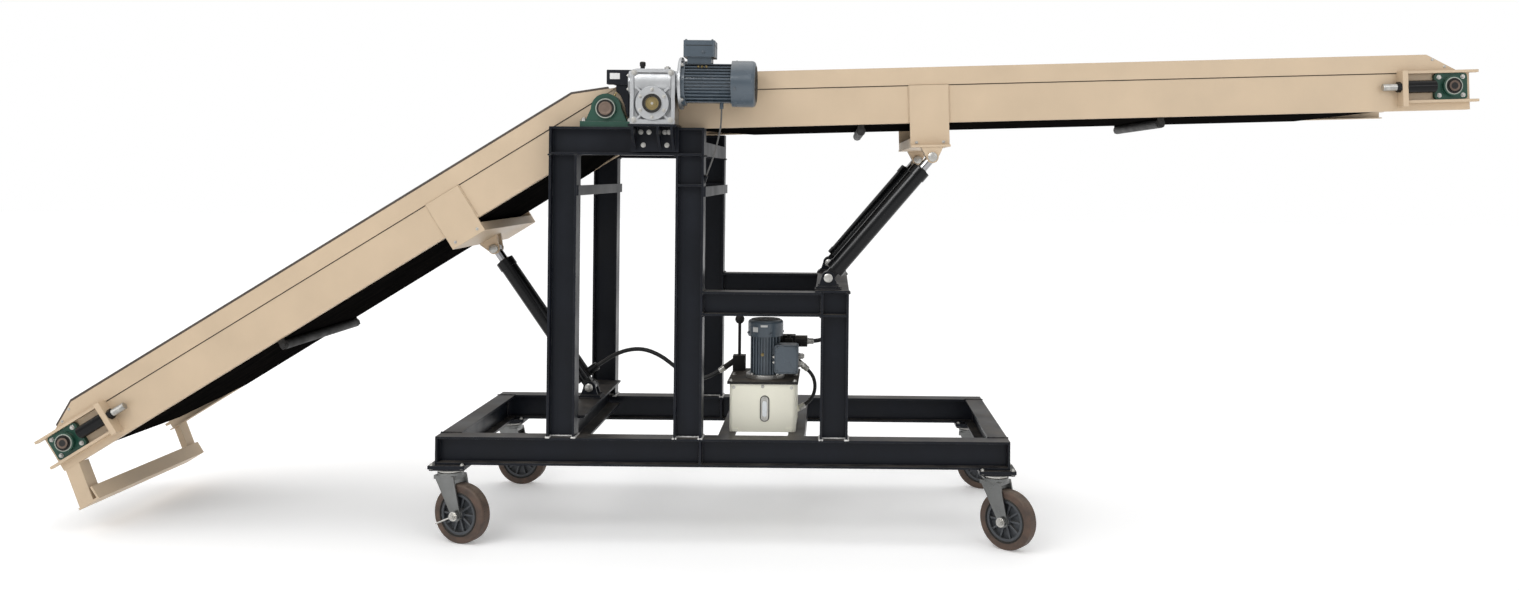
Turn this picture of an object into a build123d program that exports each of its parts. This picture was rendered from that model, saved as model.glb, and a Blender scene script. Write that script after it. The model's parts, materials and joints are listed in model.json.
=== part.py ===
"""Folding loading conveyor: two belt booms hinged on a wheeled tower frame.

Sizes are in millimetres. X runs along the machine, the discharge boom towards +X.
Y runs across it, the drive side towards -Y. Z is up from the floor.
"""

import math
import os
from typing import NamedTuple

from build123d import *

# Rolled beams
BEAM_DEPTH = 100.0
BEAM_FLANGE = 70.0
BEAM_WEB = 6.0
BEAM_FLANGE_T = 8.0
WIDE_FLANGE = 100.0
SHELF_DEPTH = 86.0
END_PLATE_T = 8.0

# Base and tower
BASE_LENGTH = 2050.0
BASE_WIDTH = 870.0
RAIL_BOTTOM = 280.0
LEFT_POST_X = -580.0
RIGHT_POST_X = -127.0
POST_HEIGHT = 1010.0
TIE_HEIGHT = 882.0
TIE_BAR = 36.0
TIE_T = 8.0
TOP_TIE_LEG = 50.0
TOP_TIE_T = 6.0
POST_RIB_DROP = 110.0
CROSS_BEAM_X = -560.0
CROSS_BEAM_TOP = 445.0
SHELF_POST_X = 395.0
SHELF_TOP = 914.0
SHELF_CAP_T = 8.0
SHELF_CAP_W = 120.0

# Hinges, drums and belts
INFEED_HINGE_X = -431.0
HINGE_PITCH = 180.0
PILLOW_CENTRE = 66.0
PILLOW_FOOT = 184.0
PILLOW_FOOT_T = 20.0
PILLOW_CHEEK = 148.0
PILLOW_DOME_R = 54.0
PILLOW_W = 46.0
PILLOW_CHEEK_INSET = 4.0
PILLOW_RING_W = 60.0
PILLOW_RING_R = 37.0
SHAFT_REACH = 34.0
SHAFT_R = 24.0
DRUM_R = 54.0
DRUM_SIDE_GAP = 12.0
RUN_GAP = 0.3
FIT_GAP = 0.05
BELT_T = 5.0
BELT_EDGE_GAP = 28.0
BELT_RETURN = 84.0
BELT_RAMP = 300.0

# Boom section, heights are from the belt axis
BOOM_SIDE_GAP = 8.0
PANEL_T = 4.0
PANEL_DOWN = 85.0
PANEL_UP = 57.0
PANEL_LIP = 30.0
PANEL_LIP_START = 100.0
GUARD_T = 3.0
GUARD_UP = 117.0
GUARD_LAP = 4.0
GUARD_HEAD_LOW = 66.0
GUARD_HEAD_HIGH = 85.0
GUARD_TAIL_HIGH = 83.0
GUARD_TAIL_LOW = 34.0
BED_T = 4.0
BED_HEAD_GAP = 92.0
BED_TAIL_GAP = 96.0
BED_RIB = 40.0
BED_RIB_SPAN = 520.0
IDLER_R = 17.0
IDLER_SHAFT_R = 8.0
IDLER_DROP = 22.0
HANGER_W = 24.0
HANGER_DROP = 36.0

# Take-up at each boom tail
TAIL_OVERHANG = 72.0
TAIL_SHAFT_R = 20.0
TAIL_SHAFT_REACH = 38.0
RAIL_LENGTH = 170.0
RAIL_OVERHANG = 94.0
RAIL_W = 24.0
RAIL_T = 10.0
RAIL_RISE = 48.0
STOP_T = 20.0
STOP_W = 44.0
STOP_DROP = 70.0
SLOT_GAP = 3.0
SLOT_BACK = 40.0
BEARING_BACK = 62.0
BEARING_AHEAD = 56.0
BEARING_HALF = 47.0
BEARING_T = 16.0
BEARING_CORNER = 12.0
BEARING_BOSS_R = 36.0
BEARING_BOSS_T = 32.0
SCREW_R = 12.0
SCREW_TAIL = 84.0
SLEEVE_R = 23.0
SLEEVE_GAP = 4.0
NUT_R = 19.0
NUT_T = 14.0
NUT_BACK = 34.0

# Booms, their saddles and return idlers, measured along from the hinge
INFEED_LENGTH = 2300.0
INFEED_ANGLE = 32.1
INFEED_SADDLE_AT = 611.0
INFEED_SADDLE_W = 136.0
INFEED_SADDLE_DROP = 138.0
INFEED_PIN_AT = 711.0
INFEED_PIN_DROP = 180.0
INFEED_IDLER_AT = 1467.0
DISCHARGE_LENGTH = 2870.0
DISCHARGE_ANGLE = 2.0
DISCHARGE_SADDLE_AT = 909.0
DISCHARGE_SADDLE_W = 142.0
DISCHARGE_SADDLE_DROP = 174.0
DISCHARGE_PIN_AT = 985.0
DISCHARGE_PIN_DROP = 210.0
DISCHARGE_IDLER_AT = 732.0
DISCHARGE_FAR_IDLER_AT = 1827.0
SADDLE_T = 8.0
SADDLE_RIB_T = 6.0
SADDLE_RIB_H = 34.0
EAR_FOOT = 40.0
EAR_R = 22.0
PIN_HEAD_R = 17.0
PIN_HEAD_T = 7.0

# Foot under the infeed tail
FOOT_LEAN = 10.8
FOOT_DROP = 142.0
FOOT_LEG = 56.0
FOOT_SKIN = 6.0
FOOT_SET = 10.0
SOLE_T = 8.0
SOLE_BACK = 22.0
SOLE_UPSTAND = 44.0

# Cylinders
BARREL_R = 32.0
BARREL_START = 34.0
BARREL_BASE = 60.0
BARREL_FLOOR = 70.0
GLAND_H = 34.0
GLAND_PROUD = 3.0
GLAND_SETBACK = 58.0
ROD_R = 17.0
ROD_INSIDE = 60.0
PIN_R = 12.0
EYE_R = 20.0
EYE_W = 34.0
EYE_SIDE_GAP = 3.0
CLEVIS_GAP = 40.0
EAR_T = 10.0
LIFT_PIN_RISE = 42.0
LIFT_OUTSET = 2.0
LIFT_SETBACK = 25.0
BRACKET_HALF = 44.0
BRACKET_T = 10.0
BRACKET_R = 24.0
NECK_HALF = 18.0
PORT_AT = 52.0
PORT_R = 16.5
PORT_LENGTH = 34.0
PORT_GAP = 4.5
PORT_FLOOR = 10.0
BRACKET_SIDE = 6.0

# Casters
WHEEL_R = 105.0
WHEEL_W = 50.0
TYRE_ROUND = 9.0
RIM_R = 74.0
RIM_T = 10.0
WEB_T = 12.0
SPOKE_T = 6.0
SPOKE_PAIRS = 5
HUB_R = 22.0
HUB_PROUD = 4.0
CASTER_TRAIL = 52.0
CASTER_INSET = 46.0
AXLE_R = 8.0
AXLE_REACH = 12.0
AXLE_NUT_R = 13.0
AXLE_NUT_T = 9.0
SWIVEL_TOP = 262.0
SWIVEL_H = 12.0
RACEWAY_R = 42.0
CROWN_R = 46.0
CROWN_BACK = 44.0
CROWN_AHEAD = 40.0
CROWN_GAP = 16.0
FORK_T = 7.0
FORK_GAP = 6.0
FORK_TIP_R = 21.0
PLATE_X = 132.0
PLATE_Y = 110.0
PLATE_T = 12.0
SPACER_INSET = 4.0
CASTER_YAW = {
    "front_left": -21.0,
    "front_right": -40.0,
    "rear_left": -8.0,
    "rear_right": -10.0,
}

# Worm gear motor
DRIVE_OVERHANG = 20.0
GEARBOX_SEAT_T = 8.0
GEARBOX_CENTRE = 72.0
GEARBOX_WIDTH = 157.0
GEARBOX_HEIGHT = 194.0
GEARBOX_DEPTH = 116.0
GEARBOX_CORNER = 26.0
GEARBOX_FOOT_T = 16.0
POCKET_RIM = 13.0
POCKET_DEPTH = 7.0
GEARBOX_LUG_R = 12.0
GEARBOX_RIB_T = 7.0
GEARBOX_RIB_TURNS = (45, 135)
LUG_EDGE = 2.0
OUTPUT_COVER_R = 58.0
OUTPUT_COVER_T = 8.0
OUTPUT_BOSS_R = 34.0
OUTPUT_BOSS_T = 14.0
OUTPUT_SHAFT_PROUD = 4.0
WORM_RISE = 75.0
WORM_R = 44.0
WORM_CAP_T = 10.0
ADAPTER_T = 12.0
SEAT_EDGE = 6.0
SEAT_BACK_GAP = 4.0
SEAT_HANG = 88.0
SEAT_NOSE = 26.0
SEAT_PLATE_T = 10.0
GUSSET_T = 8.0
MOTOR_R = 75.0
MOTOR_CORE_R = 66.0
MOTOR_FLANGE_R = 92.0
MOTOR_FLANGE_T = 10.0
MOTOR_SPIGOT_R = 79.0
MOTOR_SPIGOT_T = 12.0
MOTOR_LENGTH = 268.0
FIN_T = 4.0
FIN_PITCH = 11.0
FINS_UP = 6
FAN_COVER_R = 82.0
FAN_COVER_L = 84.0
FAN_COVER_ROUND = 14.0
BOX_AT = 70.0
BOX_NECK = (84.0, 80.0, 24.0)
BOX_LID = (110.0, 104.0, 58.0)
BOX_SINK = 8.0
BOX_CORNER = 8.0
GLAND_R = 7.0
SWITCH_AT = 88.0
SWITCH_SIDE = 14.0
SWITCH_TOP = 206.0
SWITCH_STEM = (24.0, 16.0)
SWITCH_HEAD = (75.0, 32.0, 54.0)
SWITCH_HEAD_SIDE = 11.0
SWITCH_HEAD_BACK = 10.0

# Power unit
TANK_X = 133.0
TANK_SIDE_GAP = 60.0
TANK_SIZE = (244.0, 290.0, 176.0)
TANK_CORNER = 14.0
LID_T = 9.0
LID_LIP = 8.0
PUMP_SHIFT = 3.0
PUMP_SETBACK = 112.0
PUMP_MOTOR_R = 62.0
PUMP_CORE_R = 54.0
PUMP_FLANGE_R = 72.0
PUMP_FLANGE_T = 14.0
PUMP_MOTOR_HEIGHT = 216.0
PUMP_COVER_H = 60.0
PUMP_COVER_R = 66.0
PUMP_COVER_ROUND = 12.0
PUMP_FIN_PITCH = 10.5
PUMP_FINS = 5
PUMP_BOX = (88.0, 67.0, 106.0)
PUMP_BOX_RISE = 26.0
PUMP_BOX_SIDE = 28.0
PUMP_BOX_LAP = 24.0
PUMP_BOX_CORNER = 10.0
LEVER_BLOCK = (48.0, 48.0, 58.0)
LEVER_INSET = 16.0
LEVER_BACK = 34.0
LEVER_LENGTH = 136.0
LEVER_R = 6.0
KNOB_R = 18.0
VALVE_BLOCK = (60.0, 60.0, 102.0)
VALVE_INSET = 34.0
VALVE_BACK = 60.0
SPOOL_RISE = 118.0
SPOOL_R = 22.0
SPOOL_LEFT = 40.0
SPOOL_RIGHT = 70.0
COIL = (48.0, 48.0, 52.0)
COIL_RISE = 90.0
ANGLE_LEG = 60.0
ANGLE_T = 6.0
BEARER_LAP = 26.0

# Hoses and cable
HOSE_R = 8.0
RETURN_HOSE_R = 7.0
CABLE_R = 3.0
NIPPLE_R = 11.0
LEVER_NIPPLE_L = 56.0
VALVE_NIPPLE_L = 40.0
TANK_NIPPLE_L = 14.0
UNION_L = 16.0
POST_GLAND_L = 30.0
ARC_SHARE = 0.45
PORT_SINK = 16.0
PORT_LEAD = 70.0
LEVER_TAIL = (60.0, 0.0, 42.0)
LEVER_NIPPLE_FROM = (-57.0, 9.0)
LIFT_HOSE_SWAYS = ((0.16, 0, 43), (0.34, 0, 64), (0.51, 0, 52), (0.66, 0, 19), (0.82, 0, -20))
SHELF_HOSE_LEAD = 46.0
SHELF_HOSE_SWAYS = ((0.63, 0, -17),)
UNION_SIDE = 5.0
UNION_DROP = 14.0
TANK_HOSE_FROM = (55.0, -10.0, 25.0)
TANK_HOSE_LEAD = (32.0, 0.0, -27.0)
TANK_HOSE_SWAYS = ((0.34, 19, 0), (0.70, 19, 0))
TANK_HOSE_TAIL = (-35.0, 0.0, -20.0)
TANK_HOSE_TO = (8.0, 47.0)
CABLE_FROM = (237.0, -89.0)
CABLE_LEAD = 44.0
CABLE_SWAYS = ((0.27, 4, 0), (0.54, 5, 0), (0.79, 4, 0))
CABLE_TAIL = (-13.0, 12.0, -31.0)
CABLE_TO = (7.0, -14.0, -70.0)

# Places that follow from the sizes
RAIL_TOP = RAIL_BOTTOM + BEAM_DEPTH
TOP_BEAM_BOTTOM = RAIL_TOP + POST_HEIGHT
TOP_BEAM_TOP = TOP_BEAM_BOTTOM + BEAM_DEPTH
RAIL_Y = (BASE_WIDTH - BEAM_FLANGE) / 2
INNER_Y = BASE_WIDTH / 2 - BEAM_FLANGE
PANEL_Y = INNER_Y - BOOM_SIDE_GAP
PANEL_IN = PANEL_Y - PANEL_T
INFEED_HINGE = (INFEED_HINGE_X, TOP_BEAM_TOP + PILLOW_CENTRE)
DISCHARGE_HINGE = (INFEED_HINGE_X + HINGE_PITCH, TOP_BEAM_TOP + GEARBOX_SEAT_T + GEARBOX_CENTRE)
BELT_WIDTH = 2 * (PANEL_IN - BELT_EDGE_GAP)
DRIVE_Y = -(BASE_WIDTH / 2 + DRIVE_OVERHANG)
LIFT_Y = INNER_Y + LIFT_OUTSET
TANK_FRONT = -(INNER_Y - TANK_SIDE_GAP)
TANK_TOP = RAIL_TOP + TANK_SIZE[2]
LID_TOP = TANK_TOP + LID_T
CASTER_X = BASE_LENGTH / 2 - CASTER_INSET
LEVER_X = TANK_X - TANK_SIZE[0] / 2 + LEVER_INSET
LEVER_Y = TANK_FRONT + TANK_SIZE[1] - LEVER_BACK
VALVE_X = TANK_X + TANK_SIZE[0] / 2 - VALVE_INSET
VALVE_Y = TANK_FRONT + TANK_SIZE[1] - VALVE_BACK


# Plain solids between named faces
def block(x0, x1, y0, y1, z0, z1):
    return Pos((x0 + x1) / 2, (y0 + y1) / 2, (z0 + z1) / 2) * Box(x1 - x0, y1 - y0, z1 - z0)


def bar_x(x0, x1, y, z, radius):
    return Pos((x0 + x1) / 2, y, z) * Rot(0, 90, 0) * Cylinder(radius, x1 - x0)


def bar_y(x, y0, y1, z, radius):
    return Pos(x, (y0 + y1) / 2, z) * Rot(90, 0, 0) * Cylinder(radius, y1 - y0)


def bar_z(x, y, z0, z1, radius):
    return Pos(x, y, (z0 + z1) / 2) * Cylinder(radius, z1 - z0)


def prism_x(points, x0, x1):
    face = make_face(Polyline(*points, close=True))
    return extrude(Plane.YZ.offset(x0) * face, amount=x1 - x0, dir=(1, 0, 0))


def prism_y(points, y0, y1):
    face = make_face(Polyline(*points, close=True))
    return extrude(Plane.XZ.offset(-y0) * face, amount=y1 - y0, dir=(0, 1, 0))


def prism_z(points, z0, z1):
    face = make_face(Polyline(*points, close=True))
    return extrude(Plane.XY.offset(z0) * face, amount=z1 - z0, dir=(0, 0, 1))


def both_sides(shape):
    return [shape, mirror(shape, about=Plane.XZ)]


def i_section(across, low, depth, flange):
    """Corner points of an I, its flange across the first axis and its depth along the second."""
    half_f, half_w = flange / 2, BEAM_WEB / 2
    low_in, high_in, high = low + BEAM_FLANGE_T, low + depth - BEAM_FLANGE_T, low + depth
    return [
        (across - half_f, low),
        (across + half_f, low),
        (across + half_f, low_in),
        (across + half_w, low_in),
        (across + half_w, high_in),
        (across + half_f, high_in),
        (across + half_f, high),
        (across - half_f, high),
        (across - half_f, high_in),
        (across - half_w, high_in),
        (across - half_w, low_in),
        (across - half_f, low_in),
    ]


def beam_x(x0, x1, y, z, depth=BEAM_DEPTH, flange=BEAM_FLANGE):
    return prism_x(i_section(y, z, depth, flange), x0, x1)


def beam_y(x, y0, y1, z, depth=BEAM_DEPTH, flange=BEAM_FLANGE):
    return prism_y(i_section(x, z, depth, flange), y0, y1)


def beam_z(x, y, z0, z1, depth=BEAM_DEPTH, flange=BEAM_FLANGE):
    points = [(b, a) for a, b in i_section(y, x - depth / 2, depth, flange)]
    return prism_z(points, z0, z1)


def centred_block(x, y, low, size):
    """A block over a point, standing on a height."""
    return Pos(x, y, low + size[2] / 2) * Box(*size)


def end_fitting(route, length, radius):
    """A round fitting that carries a hose straight on from the last point of its route."""
    way = Plane(origin=route[-1], z_dir=route[-1] - route[-2])
    return way * Pos(0, 0, length / 2) * Cylinder(radius, length)


def post_rib(x, y, low):
    """A plate across both hollows of an upright beam."""
    return centred_block(x, y, low, (BEAM_DEPTH, BEAM_FLANGE, END_PLATE_T))


def capped_beam(x0, x1, y, z, stiffeners):
    """A beam along X with plates that close its ends, and ribs in its web's two hollows."""
    shape = beam_x(x0, x1, y, z)
    half = BEAM_FLANGE / 2
    for x in (x0, x1 - END_PLATE_T):
        shape += block(x, x + END_PLATE_T, y - half, y + half, z, z + BEAM_DEPTH)
    for x in stiffeners:
        shape += block(x - END_PLATE_T / 2, x + END_PLATE_T / 2, y - half, y + half, z, z + BEAM_DEPTH)
    return shape


# Wheeled base and tower
def chassis_beams():
    end = BASE_LENGTH / 2
    half = BEAM_DEPTH / 2
    rib = RIGHT_POST_X + half - END_PLATE_T / 2
    left, right = LEFT_POST_X - half, RIGHT_POST_X + half
    shelf_under = SHELF_TOP - SHELF_CAP_T
    shelf_left = SHELF_POST_X - half
    tie_low = RAIL_TOP + TIE_HEIGHT - TIE_BAR / 2
    top_tie = [
        (right - TOP_TIE_LEG, TOP_BEAM_BOTTOM),
        (right, TOP_BEAM_BOTTOM),
        (right, TOP_BEAM_BOTTOM + TOP_TIE_LEG),
        (right - TOP_TIE_T, TOP_BEAM_BOTTOM + TOP_TIE_LEG),
        (right - TOP_TIE_T, TOP_BEAM_BOTTOM + TOP_TIE_T),
        (right - TOP_TIE_LEG, TOP_BEAM_BOTTOM + TOP_TIE_T),
    ]
    ties = [
        block(x + half, x + half + TIE_T, -BASE_WIDTH / 2, BASE_WIDTH / 2, tie_low, tie_low + TIE_BAR)
        for x in (LEFT_POST_X, RIGHT_POST_X)
    ]
    posts = []
    for y in (-RAIL_Y, RAIL_Y):
        posts.append(beam_z(LEFT_POST_X, y, RAIL_TOP, TOP_BEAM_BOTTOM))
        right_post = beam_z(RIGHT_POST_X, y, RAIL_TOP, TOP_BEAM_BOTTOM)
        posts.append(right_post + post_rib(RIGHT_POST_X, y, TOP_BEAM_BOTTOM - POST_RIB_DROP))
    front_right = 1
    posts[front_right] += end_fitting(cable_route(), POST_GLAND_L, GLAND_R)
    shelf_posts = [
        beam_z(SHELF_POST_X, y, RAIL_TOP, shelf_under) + post_rib(SHELF_POST_X, y, shelf_under - SHELF_DEPTH)
        for y in (-RAIL_Y, RAIL_Y)
    ]
    shelf_cross = beam_y(SHELF_POST_X, -INNER_Y, INNER_Y, shelf_under - BEAM_DEPTH, BEAM_DEPTH, WIDE_FLANGE)
    shelf_cross += end_fitting(shelf_hose_route(), UNION_L, NIPPLE_R)
    return {
        "base_rails": [capped_beam(-end, end, y, RAIL_BOTTOM, [rib]) for y in (-RAIL_Y, RAIL_Y)],
        "base_end_beams": [
            beam_y(x, -INNER_Y, INNER_Y, RAIL_BOTTOM)
            for x in (-end + BEAM_FLANGE / 2, end - BEAM_FLANGE / 2)
        ],
        "tower_posts": posts,
        "tower_top_beams": [capped_beam(left, right, y, TOP_BEAM_BOTTOM, []) for y in (-RAIL_Y, RAIL_Y)],
        "tower_ties": ties + [prism_y(top_tie, -INNER_Y, INNER_Y)],
        "shelf_posts": shelf_posts,
        "shelf_beams": [
            beam_x(right, shelf_left, y, shelf_under - SHELF_DEPTH, SHELF_DEPTH) for y in (-RAIL_Y, RAIL_Y)
        ],
        "lift_cross_beams": [
            beam_y(CROSS_BEAM_X, -INNER_Y, INNER_Y, CROSS_BEAM_TOP - BEAM_DEPTH, BEAM_DEPTH, WIDE_FLANGE),
            shelf_cross,
        ],
        "shelf_cap_plate": [
            block(
                SHELF_POST_X + half - SHELF_CAP_W,
                SHELF_POST_X + half,
                -BASE_WIDTH / 2,
                BASE_WIDTH / 2,
                shelf_under,
                SHELF_TOP,
            )
        ],
    }


# Bearings and drums on the tower's top
def pillow_block(x, y, rise):
    """A bearing whose foot stands on the top beam, or on a packer of the given rise."""
    low = TOP_BEAM_TOP + rise
    centre = low + PILLOW_CENTRE
    foot_top = low + PILLOW_FOOT_T
    half_foot, half_cheek, half_w = PILLOW_FOOT / 2, PILLOW_CHEEK / 2, PILLOW_W / 2
    cheek_w = half_w - PILLOW_CHEEK_INSET
    cheeks = [
        (x - half_cheek, foot_top),
        (x + half_cheek, foot_top),
        (x + PILLOW_DOME_R, centre),
        (x - PILLOW_DOME_R, centre),
    ]
    shape = block(x - half_foot, x + half_foot, y - half_w, y + half_w, TOP_BEAM_TOP, foot_top)
    shape += prism_y(cheeks, y - cheek_w, y + cheek_w)
    shape += bar_y(x, y - cheek_w, y + cheek_w, centre, PILLOW_DOME_R)
    shape += bar_y(x, y - PILLOW_RING_W / 2, y + PILLOW_RING_W / 2, centre, PILLOW_RING_R)
    return shape - bar_y(x, y - PILLOW_RING_W, y + PILLOW_RING_W, centre, SHAFT_R + FIT_GAP)


def bearings_and_drums():
    infeed_x, infeed_z = INFEED_HINGE
    out_x, out_z = DISCHARGE_HINGE
    reach = RAIL_Y + SHAFT_REACH
    drum_half = PANEL_IN - DRUM_SIDE_GAP
    shaft_front = DRIVE_Y - GEARBOX_DEPTH / 2 - OUTPUT_SHAFT_PROUD
    infeed_drum = bar_y(infeed_x, -drum_half, drum_half, infeed_z, DRUM_R)
    infeed_drum += bar_y(infeed_x, -reach, reach, infeed_z, SHAFT_R)
    out_drum = bar_y(out_x, -drum_half, drum_half, out_z, DRUM_R)
    out_drum += bar_y(out_x, shaft_front, reach, out_z, SHAFT_R)
    return {
        "pillow_blocks": [
            pillow_block(infeed_x, -RAIL_Y, 0),
            pillow_block(infeed_x, RAIL_Y, 0),
            pillow_block(out_x, RAIL_Y, out_z - infeed_z),
        ],
        "head_drums": [infeed_drum, out_drum],
    }


# Worm gear motor on its seat
def gearbox_body():
    """Cast worm gear case: rimmed walls, ribbed pockets, output covers, worm housing and foot."""
    x, z = DISCHARGE_HINGE
    low, worm_z = z - GEARBOX_CENTRE, z + WORM_RISE
    middle = low + GEARBOX_HEIGHT / 2
    front, back = DRIVE_Y - GEARBOX_DEPTH / 2, DRIVE_Y + GEARBOX_DEPTH / 2
    half_w = GEARBOX_WIDTH / 2
    wall = Pos(x, middle) * RectangleRounded(GEARBOX_WIDTH, GEARBOX_HEIGHT, GEARBOX_CORNER)
    pocket = Pos(x, middle) * RectangleRounded(
        GEARBOX_WIDTH - 2 * POCKET_RIM, GEARBOX_HEIGHT - 2 * POCKET_RIM, GEARBOX_CORNER - POCKET_RIM
    )
    case = extrude(Plane.XZ.offset(-front) * wall, amount=GEARBOX_DEPTH, dir=(0, 1, 0))
    for y in (front, back - POCKET_DEPTH):
        case -= extrude(Plane.XZ.offset(-y) * pocket, amount=POCKET_DEPTH, dir=(0, 1, 0))
    for turn in GEARBOX_RIB_TURNS:
        rib = Box(2 * (OUTPUT_COVER_R + 2 * GEARBOX_LUG_R), GEARBOX_DEPTH, GEARBOX_RIB_T)
        case += Pos(x, DRIVE_Y, z) * Rot(0, turn, 0) * rib
    lug_in = GEARBOX_LUG_R + LUG_EDGE
    lug_x = half_w - lug_in
    for lug_z in (low + lug_in, low + GEARBOX_HEIGHT - lug_in):
        for side in (-1, 1):
            case += bar_y(x + side * lug_x, front, back, lug_z, GEARBOX_LUG_R)
    case += block(x - half_w, x + half_w, front, back, low, low + GEARBOX_FOOT_T)
    case += bar_y(x, front - OUTPUT_COVER_T, back + OUTPUT_COVER_T, z, OUTPUT_COVER_R)
    case += bar_y(x, front - OUTPUT_BOSS_T, back + OUTPUT_BOSS_T, z, OUTPUT_BOSS_R)
    case += bar_x(x - half_w - WORM_CAP_T, x + half_w + ADAPTER_T, DRIVE_Y, worm_z, WORM_R)
    return case - bar_y(x, front - GEARBOX_DEPTH, back + GEARBOX_DEPTH, z, SHAFT_R + FIT_GAP)


def gearbox_seat():
    x = DISCHARGE_HINGE[0]
    half_w = GEARBOX_WIDTH / 2
    beam_front = -BASE_WIDTH / 2
    front = DRIVE_Y - GEARBOX_DEPTH / 2 - SEAT_EDGE
    back = -INNER_Y - SEAT_BACK_GAP
    x0, x1 = x - half_w - SEAT_EDGE, x + half_w + SEAT_EDGE
    hang = TOP_BEAM_TOP - SEAT_HANG
    gusset = [
        (beam_front - SEAT_PLATE_T / 2, TOP_BEAM_TOP),
        (front, TOP_BEAM_TOP),
        (front, TOP_BEAM_TOP - SEAT_NOSE),
        (beam_front - SEAT_PLATE_T / 2, hang),
    ]
    seat = block(x0, x1, front, back, TOP_BEAM_TOP, TOP_BEAM_TOP + GEARBOX_SEAT_T)
    seat += block(x0, x1, beam_front - SEAT_PLATE_T, beam_front, hang, TOP_BEAM_TOP)
    for gusset_x in (x0 + 2 * SEAT_EDGE, x + 2 * GUSSET_T, x1 - 2 * SEAT_EDGE - GUSSET_T):
        seat += prism_x(gusset, gusset_x, gusset_x + GUSSET_T)
    return seat


def drive_motor_parts():
    axis_z = DISCHARGE_HINGE[1] + WORM_RISE
    start = DISCHARGE_HINGE[0] + GEARBOX_WIDTH / 2 + ADAPTER_T
    flange_end = start + MOTOR_FLANGE_T
    core_start = flange_end + MOTOR_SPIGOT_T
    cover_start = start + MOTOR_LENGTH - FAN_COVER_L
    motor = bar_x(start, flange_end, DRIVE_Y, axis_z, MOTOR_FLANGE_R)
    motor += bar_x(flange_end, core_start, DRIVE_Y, axis_z, MOTOR_SPIGOT_R)
    motor += bar_x(core_start, cover_start, DRIVE_Y, axis_z, MOTOR_CORE_R)
    for step in range(-FINS_UP, FINS_UP + 1):
        rise = step * FIN_PITCH
        reach = math.sqrt(MOTOR_R**2 - (abs(rise) + FIN_T / 2) ** 2)
        low = axis_z + rise - FIN_T / 2
        motor += block(core_start, cover_start, DRIVE_Y - reach, DRIVE_Y + reach, low, low + FIN_T)
    exit_x, exit_y, exit_z = cable_route()[0]
    motor += bar_z(exit_x, exit_y, exit_z, axis_z - MOTOR_CORE_R + FIN_T, GLAND_R)
    cover = bar_x(cover_start, start + MOTOR_LENGTH, DRIVE_Y, axis_z, FAN_COVER_R)
    cover = fillet(cover.edges().filter_by(GeomType.CIRCLE).sort_by(Axis.X)[-1], FAN_COVER_ROUND)
    neck_low = axis_z + MOTOR_R - BOX_SINK
    lid_low = neck_low + BOX_NECK[2]
    box_x = start + BOX_AT
    box = centred_block(box_x, DRIVE_Y, neck_low, BOX_NECK)
    box += fillet(centred_block(box_x, DRIVE_Y, lid_low, BOX_LID).edges().filter_by(Axis.Z), BOX_CORNER)
    box -= bar_x(start, cover_start, DRIVE_Y, axis_z, MOTOR_R + FIT_GAP)
    return {"drive_motor": [motor], "drive_motor_fan_cover": [cover], "drive_motor_terminal_box": [box]}


def limit_switch():
    stem_w, stem_d = SWITCH_STEM
    head_w, head_d, head_h = SWITCH_HEAD
    x, y = INFEED_HINGE[0] + SWITCH_AT, -RAIL_Y + SWITCH_SIDE
    top = TOP_BEAM_TOP + SWITCH_TOP
    right, back = x + SWITCH_HEAD_SIDE, y + SWITCH_HEAD_BACK
    shape = centred_block(x, y, TOP_BEAM_TOP + PILLOW_FOOT_T, (stem_w, stem_d, SWITCH_TOP - PILLOW_FOOT_T))
    return shape + block(right - head_w, right, back - head_d, back, top - head_h, top)


def drive_train():
    parts = bearings_and_drums()
    parts["gearbox"] = [gearbox_body()]
    parts["gearbox_seat"] = [gearbox_seat()]
    parts.update(drive_motor_parts())
    parts["limit_switch"] = [limit_switch()]
    return parts


# Hydraulic power unit on the base
def pump_motor_parts(x, y):
    fin_low = LID_TOP + PUMP_FLANGE_T
    cover_low = LID_TOP + PUMP_MOTOR_HEIGHT - PUMP_COVER_H
    motor = bar_z(x, y, LID_TOP, fin_low, PUMP_FLANGE_R)
    motor += bar_z(x, y, fin_low, cover_low, PUMP_CORE_R)
    for step in range(-PUMP_FINS, PUMP_FINS + 1):
        shift = step * PUMP_FIN_PITCH
        reach = math.sqrt(PUMP_MOTOR_R**2 - (abs(shift) + FIN_T / 2) ** 2)
        left = x + shift - FIN_T / 2
        motor += block(left, left + FIN_T, y - reach, y + reach, fin_low, cover_low)
    cover = bar_z(x, y, cover_low, LID_TOP + PUMP_MOTOR_HEIGHT, PUMP_COVER_R)
    motor += fillet(cover.edges().filter_by(GeomType.CIRCLE).sort_by(Axis.Z)[-1], PUMP_COVER_ROUND)
    box_w, box_d, box_h = PUMP_BOX
    left, back, low = x + PUMP_MOTOR_R - PUMP_BOX_LAP, y - PUMP_BOX_SIDE, LID_TOP + PUMP_BOX_RISE
    box = block(left, left + box_w, back - box_d, back, low, low + box_h)
    box = fillet(box.edges().filter_by(Axis.Y), PUMP_BOX_CORNER)
    box -= bar_z(x, y, LID_TOP, cover_low, PUMP_MOTOR_R + FIT_GAP)
    return {"pump_motor": [motor], "pump_terminal_box": [box]}


def lever_valve():
    x, y = LEVER_X, LEVER_Y
    stem_low = LID_TOP + LEVER_BLOCK[2] - LEVER_R
    stem_top = stem_low + LEVER_LENGTH
    shape = centred_block(x, y, LID_TOP, LEVER_BLOCK)
    shape += bar_z(x, y, stem_low, stem_top, LEVER_R)
    shape += Pos(x, y, stem_top + KNOB_R / 2) * Sphere(KNOB_R)
    return shape + end_fitting(lift_hose_route(), LEVER_NIPPLE_L, NIPPLE_R)


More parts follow.
